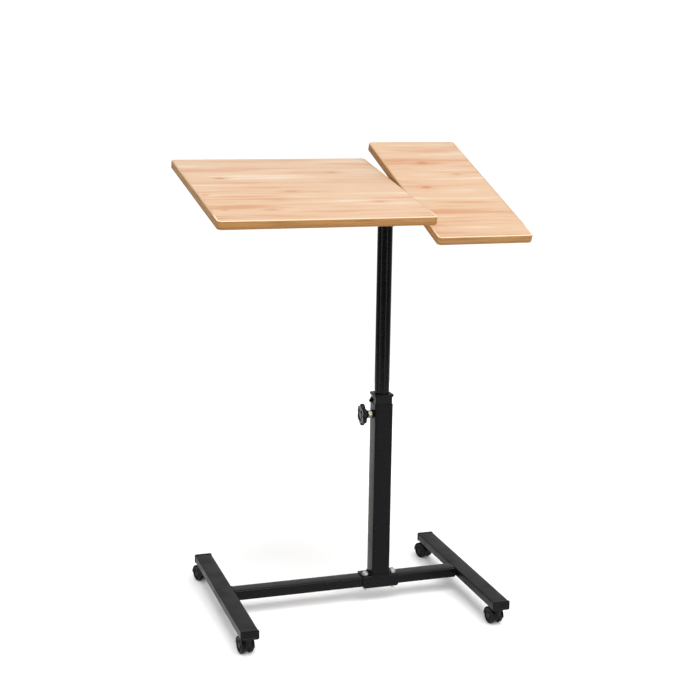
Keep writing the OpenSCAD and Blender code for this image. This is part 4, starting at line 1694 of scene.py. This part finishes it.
@dataclass
class Desk(Assembly):
    """A tilting top: its laminated board, its edge band and the two hinge blocks screwed under it."""

    name: str
    body: Body
    middle: float
    width: float
    tilt: float
    left_block: float
    right_block: float
    clamped: Side
    laminate: WoodLaminate
    depth: float = 405.0
    thickness: float = 15.0
    corner: float = 8.0
    band: float = 3.0
    arris: float = 2.0
    drop: float = 26.0
    block_width: float = 20.0
    block_wall: float = 6.0
    flange_length: float = 84.0
    flange: float = 5.0
    pad: float = 1.5
    fillet: float = 3.0
    screw_diameter: float = 4.0
    screw_spacing: float = 64.0

    @property
    def place(self) -> Matrix:
        """Matrix from the top's own axes, with its origin on the pivot axis, to the frame's."""
        return shift(0, self.back, self.pivot_z) @ turn("X", self.tilt)

    @property
    def barrel(self) -> float:
        """Radius of a hinge block round the pivot tube."""
        return self.pivot_radius + self.block_wall

    @property
    def seat(self) -> float:
        """Distance from the pivot axis to the face of the clamp's pad."""
        return self.barrel + self.pad

    @property
    def clamp_place(self) -> Matrix:
        """Matrix that lays the drawing's Z axis on the tilt clamp's, from the pivot axis to the front."""
        start = self.left_block if self.clamped is Side.LEFT else self.right_block
        return self.place @ shift(start + self.block_width / 2, 0, 0) @ turn("X", 90)

    def build(self) -> None:
        """Builds and dresses every piece."""
        self.board()
        self.edge_band()
        self.block(Side.LEFT, self.left_block)
        self.block(Side.RIGHT, self.right_block)
        self.screws()
        self.clamp_nut()

    def board(self) -> None:
        """Builds the board inside its edge band, with a fine groove where the two meet."""
        shape = Shape(self.place @ shift(self.middle, 0, 0))
        outline = box(self.width - 2 * self.band, self.depth - 2 * self.band, self.corner - self.band, 8)
        shape.slab(outline, self.drop, self.drop + self.thickness, 0.25, steps=2)
        fit(f"{self.name}_board", shape, self.laminate, self.body, f"{self.name}_top")

    def edge_band(self) -> None:
        """Builds the band as one ring with rounded upper and lower edges."""
        shape = Shape(self.place @ shift(self.middle, 0, self.drop))
        outline, inner, top = box(self.width, self.depth, self.corner, 8), self.band, self.thickness
        section = [(inner, 0.25), (inner - 0.25, 0.0), *rolled(0.0, top, self.arris, 5)]
        section += [(inner - 0.25, top), (inner, top - 0.25)]
        shape.skin([shape.ring(outline(inset), height) for inset, height in section], join=True, run=True)
        fit(f"{self.name}_edge_strip", shape, BAND, self.body, f"{self.name}_edge_band", sharp=50)

    def block(self, side: Side, start: float) -> None:
        """Builds a hinge block.

        Args:
            side: Which of the top's two blocks it is.
            start: Its left face along X.
        """
        shape = Shape(self.place @ shift(start, 0, 0) @ turn("Y", 90) @ turn("Z", 90))
        steps, wide, bore = 72, self.block_width, self.pivot_radius + 0.05
        ceiling, low = self.drop - self.flange + 0.4, self.drop - self.flange

        def section(inset: float, x: float) -> list[Vector]:
            """Returns the barrel's ring at x, drawn in by an inset: round below, square above."""
            points = []
            for point in circle(1.0, x, steps):
                far = self.barrel - inset
                if point.y > 0:
                    far = min(far / max(abs(point.x), 1e-6), ceiling / max(point.y, 1e-6))
                points.append(Vector((far * point.x, far * point.y, x)))
            return points

        rings = [circle(bore, 0.5, steps), circle(bore + 0.5, 0, steps)]
        for inset, x in ((0.9, 0), (0.25, 0.25), (0, 0.9), (0, wide - 0.9), (0.25, wide - 0.25), (0.9, wide)):
            rings.append(section(inset, x))
        rings += [circle(bore + 0.5, wide, steps), circle(bore, wide - 0.5, steps)]
        shape.skin(rings, join=True)
        middle = shape.place = self.place @ shift(start + wide / 2, 0, 0)
        shape.slab(box(wide, self.flange_length, 4.0), low, self.drop, 0.8)
        for end in End:
            shape.place = middle @ shift(0, end.value * self.barrel, low)
            self.gusset(shape, end)
        if side is self.clamped:
            shape.place = self.clamp_place
            shape.slab(box(wide, wide, 2.5), bore + 0.5, self.seat, 0.7, round_low=False)
        word = side.name.lower()
        node = f"{self.name}_{word}_block"
        fit(f"{self.name}_{word}_hinge_block", shape, PLASTIC, self.body, node, sharp=40)

    def gusset(self, shape: Shape, end: End) -> None:
        """Adds the moulded fillet between the barrel's side and the flange.

        Args:
            shape: Shape to add to, placed at the corner between the two.
            end: Side of the barrel that it is on.
        """
        half, reach = self.block_width / 2 - 0.9, self.fillet
        points = [(-0.5, 0.5), (reach, 0.5), *arc(reach, -reach, reach, 90, 90, 6), (-0.5, -reach)]
        shape.skin([[Vector((x, end.value * y, z)) for y, z in points] for x in (-half, half)])

    def screws(self) -> None:
        """Puts the four wood screws of the two blocks in place."""
        screw = PanScrew(self.screw_diameter).shape(self.tools)
        x, y = self.left_block + self.block_width / 2, -self.screw_spacing / 2
        first = self.place @ Vector((x, y, self.drop - self.flange))
        grid = {
            "step": Vector((self.right_block - self.left_block, 0, 0)),
            "row_step": self.place.to_3x3() @ Vector((0, self.screw_spacing, 0)),
            "facing": (180 + self.tilt, 0, 0),
        }
        part = (f"{self.name}_wood_screws", screw, ZINC, self.body, f"{self.name}_block_screws")
        self.tools.repeat(*part, first, **grid, rows=2, loose=180, seed=31)

    def clamp_nut(self) -> None:
        """Puts the nut of the tilt clamp on its pad."""
        nut = HexNut(self.nut_flats, self.nut_height, self.stud_radius + 0.05)
        shape = nut.shape(self.clamp_place @ shift(0, 0, self.seat) @ turn("Z", 90))
        fit(f"{self.name}_tilt_nut", shape, ZINC, self.body, f"{self.name}_clamp_nut")


@dataclass
class Clamp(Assembly):
    """A star knob on its threaded stud. Its own +Z points from the clamped tube's axis to the knob."""

    name: str
    body: Body
    place: Matrix
    clamped_radius: float
    seat: float
    diameter: float
    stud_node: str
    gap: float = 1.0
    hub_length: float = 5.5
    hub_radius: float = 9.0
    hub_ribs: int = 16
    disc: float = 8.0
    dish: float = 1.6
    lobes: int = 6
    stud_in_knob: float = 5.0
    pitch: float = 1.25
    clear: float = 0.3

    @property
    def start(self) -> float:
        """Distance from the tube's axis to the hub's end."""
        return self.seat + self.nut_height + self.gap

    def build(self) -> None:
        """Builds and dresses the knob and its stud."""
        self.knob()
        self.stud()

    def knob(self) -> None:
        """Builds the hub with its ribs, the lobed disc and the cap in its middle."""
        shape = Shape(self.place @ shift(0, 0, self.start))
        core, bore = self.hub_radius - 0.6, self.stud_radius
        end, long = self.stud_in_knob, self.hub_length
        hub = [(bore, end), (bore, 0.4), (bore + 0.4, 0), (core - 0.5, 0), (core, 0.5), (core, long - 0.6)]
        shape.revolve([*hub, (core + 0.9, long + 0.6), (0, long + 0.6), (0, end)])
        ribs = {
            "Count": self.hub_ribs,
            "Ring_radius": (core - 0.1) * MM,
            "Rib_size": (1.2 * MM, 1.3 * MM, (self.hub_length - 0.8) * MM),
            "Height": (self.hub_length / 2 + 0.4) * MM,
        }
        shape.absorb(self.tools.ribs.run(KNOB_PLASTIC, **ribs))
        disc = {
            "Radius": self.diameter / 2 * MM,
            "Lobe_depth": 0.0975 * self.diameter * MM,
            "Dish_depth": self.dish * MM,
            "Thickness": self.disc * MM,
            "Lobes": self.lobes,
        }
        shape.absorb(self.tools.lobes.run(KNOB_PLASTIC, **disc), shift(0, 0, self.hub_length + self.disc / 2))
        top, cap = self.hub_length + self.disc, self.diameter * 0.17
        profile = [(0, top - 3), (cap + 0.5, top - 3), (cap + 0.5, top - 1.4), (cap, top - 0.7)]
        shape.revolve([*profile, (cap - 0.8, top - 0.5), (0, top - 0.3)])
        fit(f"{self.name}_star_knob", shape, KNOB_PLASTIC, self.body, f"{self.name}_knob", sharp=45)

    def stud(self) -> None:
        """Builds the threaded stud from the clamped tube into the knob."""
        tip, end = self.clamped_radius + self.clear, self.start + self.stud_in_knob
        shape = Shape(self.place)
        self.tools.wind(shape, self.stud_radius, self.pitch, tip + 0.8, end - 0.8)
        core = self.stud_radius - ScrewThread.DEPTH * self.pitch
        shape.revolve([(0, tip), (core - 0.7, tip), (core, tip + 0.8), (core, end - 0.4), (0, end - 0.4)], 24)
        fit(f"{self.name}_stud", shape, ZINC, self.body, self.stud_node, sharp=50)


@dataclass
class Caster(Assembly):
    """A twin wheel caster: the hood with its web and neck swivels, and the pair of wheels rolls."""

    name: str
    x: float
    y: float
    rest_turn: float
    wheel_radius: float = 15.0
    wheel_width: float = 8.0
    wheel_round: float = 2.0
    trail: float = 12.0
    hood_radius: float = 17.0
    hood_inner: float = 15.7
    hood_edge: float = 0.55
    hood_steps: int = 40
    hood_top: float = 33.2
    web_width: float = 7.0
    web_lift: float = 2.5
    wheel_gap: float = 0.3
    neck_radius: float = 6.5
    stem_root: float = 20.0
    stem_root_radius: float = 2.5
    axle_radius: float = 2.5
    spokes: int = 6
    cap: float = 1.9

    @property
    def half_width(self) -> float:
        """Half the caster's width over the wheels."""
        return self.web_width / 2 + self.wheel_gap + self.wheel_width

    @property
    def place(self) -> Matrix:
        """Matrix from the caster's own axes, with its origin on the floor under the stem, to the frame's."""
        return shift(self.x, self.y, 0) @ turn("Z", self.rest_turn)

    @property
    def axle_place(self) -> Matrix:
        """Matrix that lays the drawing's Z axis on the axle."""
        return self.place @ shift(0, self.trail, self.wheel_radius) @ turn("Y", 90)

    def build(self) -> None:
        """Builds and dresses every piece."""
        self.hood()
        self.wheels()
        dress(f"caster_{self.name}_stem", ZINC)
        dress(f"caster_{self.name}_axle", ZINC)

    def hood(self) -> None:
        """Builds the curved hood over the wheels, the web between them and the neck round the stem."""
        shape = Shape(self.place @ shift(0, self.trail, self.wheel_radius))
        outer, inner, half, edge = self.hood_radius, self.hood_inner, self.half_width, self.hood_edge
        low, last = asin(-2.0 / outer), self.hood_steps
        rings = []
        for i in range(last + 1):
            a = low + (pi - 2 * low) * i / last
            ease = 0.35 if i in (0, last) else 0.0
            section = [(half - edge, inner + ease), (half - 0.1, inner + 0.15 + ease), (half, inner + edge)]
            section += [(half, outer - edge), (half - 0.2, outer - 0.16 - ease), (half - edge, outer - ease)]
            section += [(-x, radius) for x, radius in reversed(section)]
            rings.append([Vector((x, -cos(a) * radius, sin(a) * radius)) for x, radius in section])
        shape.skin(rings)
        self.web(shape)
        self.neck(shape)
        name = f"caster_{self.name}"
        fit(f"{name}_hood_moulding", shape, PLASTIC, f"{name}_swivel", f"{name}_hood", sharp=40)

    def web(self, shape: Shape) -> None:
        """Adds the web disc and the arm that joins it to the hood and the neck."""
        shape.place = self.axle_place
        half, radius = self.web_width / 2, self.wheel_radius - self.web_lift
        shape.revolve(pipe(self.axle_radius + 0.05, radius, -half, half, 0.6), 64, join=True)
        shape.place = self.place @ shift(0, self.trail / 2, 0)
        low, high = self.wheel_radius + self.axle_radius + 0.8, self.wheel_radius + self.hood_radius - 1.6
        shape.slab(lambda i: rounded(self.web_width - 2 * i, self.trail - 2 * i, 0.8), low, high, 0.4)

    def neck(self, shape: Shape) -> None:
        """Adds the neck round the stem's root."""
        shape.place = shift(self.x, self.y, 0)
        r, bore, top, root = self.neck_radius, self.stem_root_radius, self.hood_top, self.stem_root
        profile = [(0, root - 2), (r - 0.6, root - 2), (r, root - 1.2), (r, top - 0.8)]
        profile += [(r - 0.25, top - 0.25), (r - 0.8, top), (bore + 0.5, top), (bore, top - 0.5)]
        profile += [(bore, root), (0, root)]
        shape.revolve(profile, 56)

    def wheels(self) -> None:
        """Builds the two wheels, each with a rounded tread, a closed hub and spokes in its dished face."""
        shape = Shape()
        spokes = {
            "Count": self.spokes,
            "Ring_radius": (self.wheel_radius + self.axle_radius - 1) / 2 * MM,
            "Rib_size": ((self.wheel_radius - self.axle_radius - 6.2) * MM, 1.5 * MM, 1.3 * MM),
            "Height": (self.wheel_width - 1.05) * MM,
        }
        for way in (turn("X", 180), Matrix()):
            shape.place = self.axle_place @ way @ shift(0, 0, self.web_width / 2 + self.wheel_gap)
            shape.revolve(self.wheel_profile(), 72, join=True)
            shape.absorb(self.tools.ribs.run(WHEEL, **spokes))
        name = f"caster_{self.name}"
        fit(f"{name}_wheel_pair", shape, WHEEL, f"{name}_roll", f"{name}_wheels", soften=0.2)

    def wheel_profile(self) -> Outline:
        """Returns a wheel's profile as radius and distance from the web, as a closed loop."""
        r, w, e, bore = self.wheel_radius, self.wheel_width, self.wheel_round, self.axle_radius + 0.02
        rim, hub, floor = r - 4.0, self.axle_radius + 3.0, w - 1.5
        profile = [(bore, 0.0), *arc(r - e, e, e, -90, 90, 4), *arc(r - e, w - e, e, 0, 90, 4)]
        profile += [(rim + 0.3, w), (rim, w - 0.3), (rim - 0.2, floor), (hub + 0.2, floor), (hub, w - 0.4)]
        return [*profile, (hub - 0.4, w), (0, w), (0, w - self.cap), (bore, w - self.cap)]


# Studio


@dataclass
class Studio:
    """Plain pale floor, plain soft light and the camera at the photograph's angle."""

    floor_side: float = 3.4
    aim: Triple = (0.08, 0.0, 0.45)
    camera_place: Triple = (-0.7498, -2.31687, 1.01721)
    yaw: float = 18.23
    pitch: float = 12.05
    roll: float = 0.9
    lens: float = 69.33

    def build(self) -> None:
        """Sets up the floor, the lights, the surroundings and the camera."""
        self.floor()
        self.lights()
        self.surroundings()
        self.camera()

    def floor(self) -> None:
        """Lays the floor."""
        half = self.floor_side / 2
        mesh = bpy.data.meshes.new("studio_floor")
        corners = [(-half, -half, 0), (half, -half, 0), (half, half, 0), (-half, half, 0)]
        mesh.from_pydata(corners, [], [(0, 1, 2, 3)])
        mesh.materials.append(StudioFloor().material())
        floor = link("studio_floor", mesh)

    def lights(self) -> None:
        """Hangs a wide soft key above, and an upright soft strip at each side."""
        key = self.light("key", "SUN", energy=2.7, angle=radians(46))
        key.rotation_euler = (radians(28), radians(4), 0.0)
        for name, place in (("right_strip", (0.68, -1.80, 0.42)), ("left_strip", (-1.60, -0.72, 0.42))):
            strip = self.light(name, "AREA", energy=3.0, shape="RECTANGLE", size=0.22, size_y=0.8)
            strip.visible_camera = False
            strip.location = place
            strip.rotation_mode = "QUATERNION"
            strip.rotation_quaternion = (Vector(self.aim) - Vector(place)).to_track_quat("-Z", "Y")

    def light(self, name: str, kind: str, **settings: Any) -> bpy.types.Object:
        """Puts a light with these settings in the scene and returns it."""
        data = bpy.data.lights.new(name, kind)
        for key, value in settings.items():
            setattr(data, key, value)
        return link(name, data)

    def surroundings(self) -> None:
        """Sets even pale surroundings, white where the camera looks past the floor."""
        world = bpy.data.worlds.new("studio")
        world.use_nodes = True
        sheet = NodeSheet(world.node_tree)
        seen = sheet.out("ShaderNodeLightPath", output="Is Camera Ray")
        sides = {0: sheet.out("ShaderNodeTexCoord", output="Generated"), 1: (0.28, 0.45, 0.85)}
        toward = sheet.out("ShaderNodeVectorMath", sides, 1, operation="DOT_PRODUCT")
        strength = sheet.spread(toward, -0.6, 1.0, 0.12, 0.86)
        light = sheet.out("ShaderNodeBackground", {"Color": (0.98, 0.99, 1.0), "Strength": strength})
        white = sheet.out("ShaderNodeBackground", {"Color": (1.0, 1.0, 1.0), "Strength": 1.05})
        both = sheet.out("ShaderNodeMixShader", {0: seen, 1: light, 2: white})
        sheet.add("ShaderNodeOutputWorld", {"Surface": both})
        bpy.context.scene.world = world
        bpy.context.scene.view_settings.view_transform = "Standard"

    def camera(self) -> None:
        """Stands the camera where the photograph was taken from."""
        yaw, pitch, roll = (radians(a) for a in (self.yaw, self.pitch, self.roll))
        ahead = Vector((sin(yaw) * cos(pitch), cos(yaw) * cos(pitch), -sin(pitch)))
        right = Vector((cos(yaw), -sin(yaw), 0.0))
        up = right.cross(ahead)
        across = right * cos(roll) + up * sin(roll)
        upward = up * cos(roll) - right * sin(roll)
        data = bpy.data.cameras.new("photo_camera")
        data.sensor_width = 36.0
        data.lens = self.lens
        data.clip_start, data.clip_end = 0.05, 100.0
        matrix = Matrix((across, upward, -ahead)).transposed().to_4x4()
        matrix.translation = Vector(self.camera_place)
        camera = link("photo_camera", data)
        camera.matrix_world = matrix
        bpy.context.scene.camera = camera


def build_tops(tools: ToolBox) -> None:
    """Builds the large and the small top with their tilt clamps."""
    main_print = WoodLaminate(
        name="wood_laminate_main",
        tilt=10.0,
        pivot=(-90.0, 3.0, 759.0),
        part=3.7,
        knots=(
            *(Knot(-178, -45, 9, 0.9), Knot(-164, -136, 9, 0.85), Knot(-128, 62, 15, 0.8)),
            *(Knot(-20, -30, 18), Knot(92, 96, 15), Knot(118, -104, 14, 0.45), Knot(-86, -140, 13, 0.4)),
        ),
        streaks=(
            *(Streak(-60, 128, 120, 9, 0.5), Streak(60, 30, 130, 8, 0.45), Streak(-110, -60, 90, 9, 0.5)),
            *(Streak(40, -152, 140, 7, 0.4), Streak(130, 160, 70, 8, 0.4)),
        ),
    )
    side_print = WoodLaminate(
        name="wood_laminate_side",
        tilt=20.0,
        pivot=(191.5, 3.0, 759.0),
        part=8.2,
        knots=(Knot(-12, 103, 16, 0.95), Knot(-41, -4, 14, 0.9), Knot(40, 52, 11, 0.35)),
        streaks=(
            *(Streak(10, 158, 105, 9, 0.55), Streak(15, -68, 92, 8, 0.60), Streak(66, 86, 55, 9, 0.35)),
            *(Streak(-30, -128, 80, 7, 0.30), Streak(50, 8, 60, 8, 0.28)),
        ),
    )
    main = Desk("main", Body.MAIN_DESK, -90.0, 381.0, 10.0, -184.5, 32.0, Side.LEFT, main_print, tools=tools)
    side = Desk("side", Body.SIDE_DESK, 191.5, 178.0, 20.0, 105.0, 224.5, Side.RIGHT, side_print, tools=tools)
    for desk, body in ((main, Body.MAIN_TILT_CLAMP), (side, Body.SIDE_TILT_CLAMP)):
        desk.build()
        name = f"{desk.name}_tilt"
        sizes = (desk.clamp_place, desk.pivot_radius, desk.seat, 34.0)
        Clamp(name, body, *sizes, f"{name}_screw", tools=tools).build()


def build_casters(tools: ToolBox, base: Base) -> None:
    """Builds the four casters under the ends of the legs; the back ones stand turned further."""
    for end, rest_turn in ((End.FRONT, 8.0), (End.BACK, 20.0)):
        for side in Side:
            name = end.name[0].lower() + side.name[0].lower()
            place = (base.leg_x(side), end.value * base.caster_y)
            Caster(name, *place, rest_turn, tools=tools).build()


def write_sizes() -> None:
    """Updates the view layer, so that the pieces' matrices are current."""
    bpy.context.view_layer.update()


def main() -> None:
    """Builds the table, then its studio."""
    logging.basicConfig(level=logging.INFO, format="%(name)s: %(message)s")
    tools = ToolBox()
    base = Base(tools=tools)
    base.build()
    mast = Mast(tools=tools)
    mast.build()
    Head(tools=tools).build()
    build_tops(tools)
    sizes = (mast.clamp_place, mast.tube_radius, mast.seat, 42.0)
    Clamp("height", Body.HEIGHT_CLAMP, *sizes, "height_knob_screw", tools=tools).build()
    build_casters(tools, base)
    Studio().build()
    write_sizes()


if __name__ == "__main__":
    main()
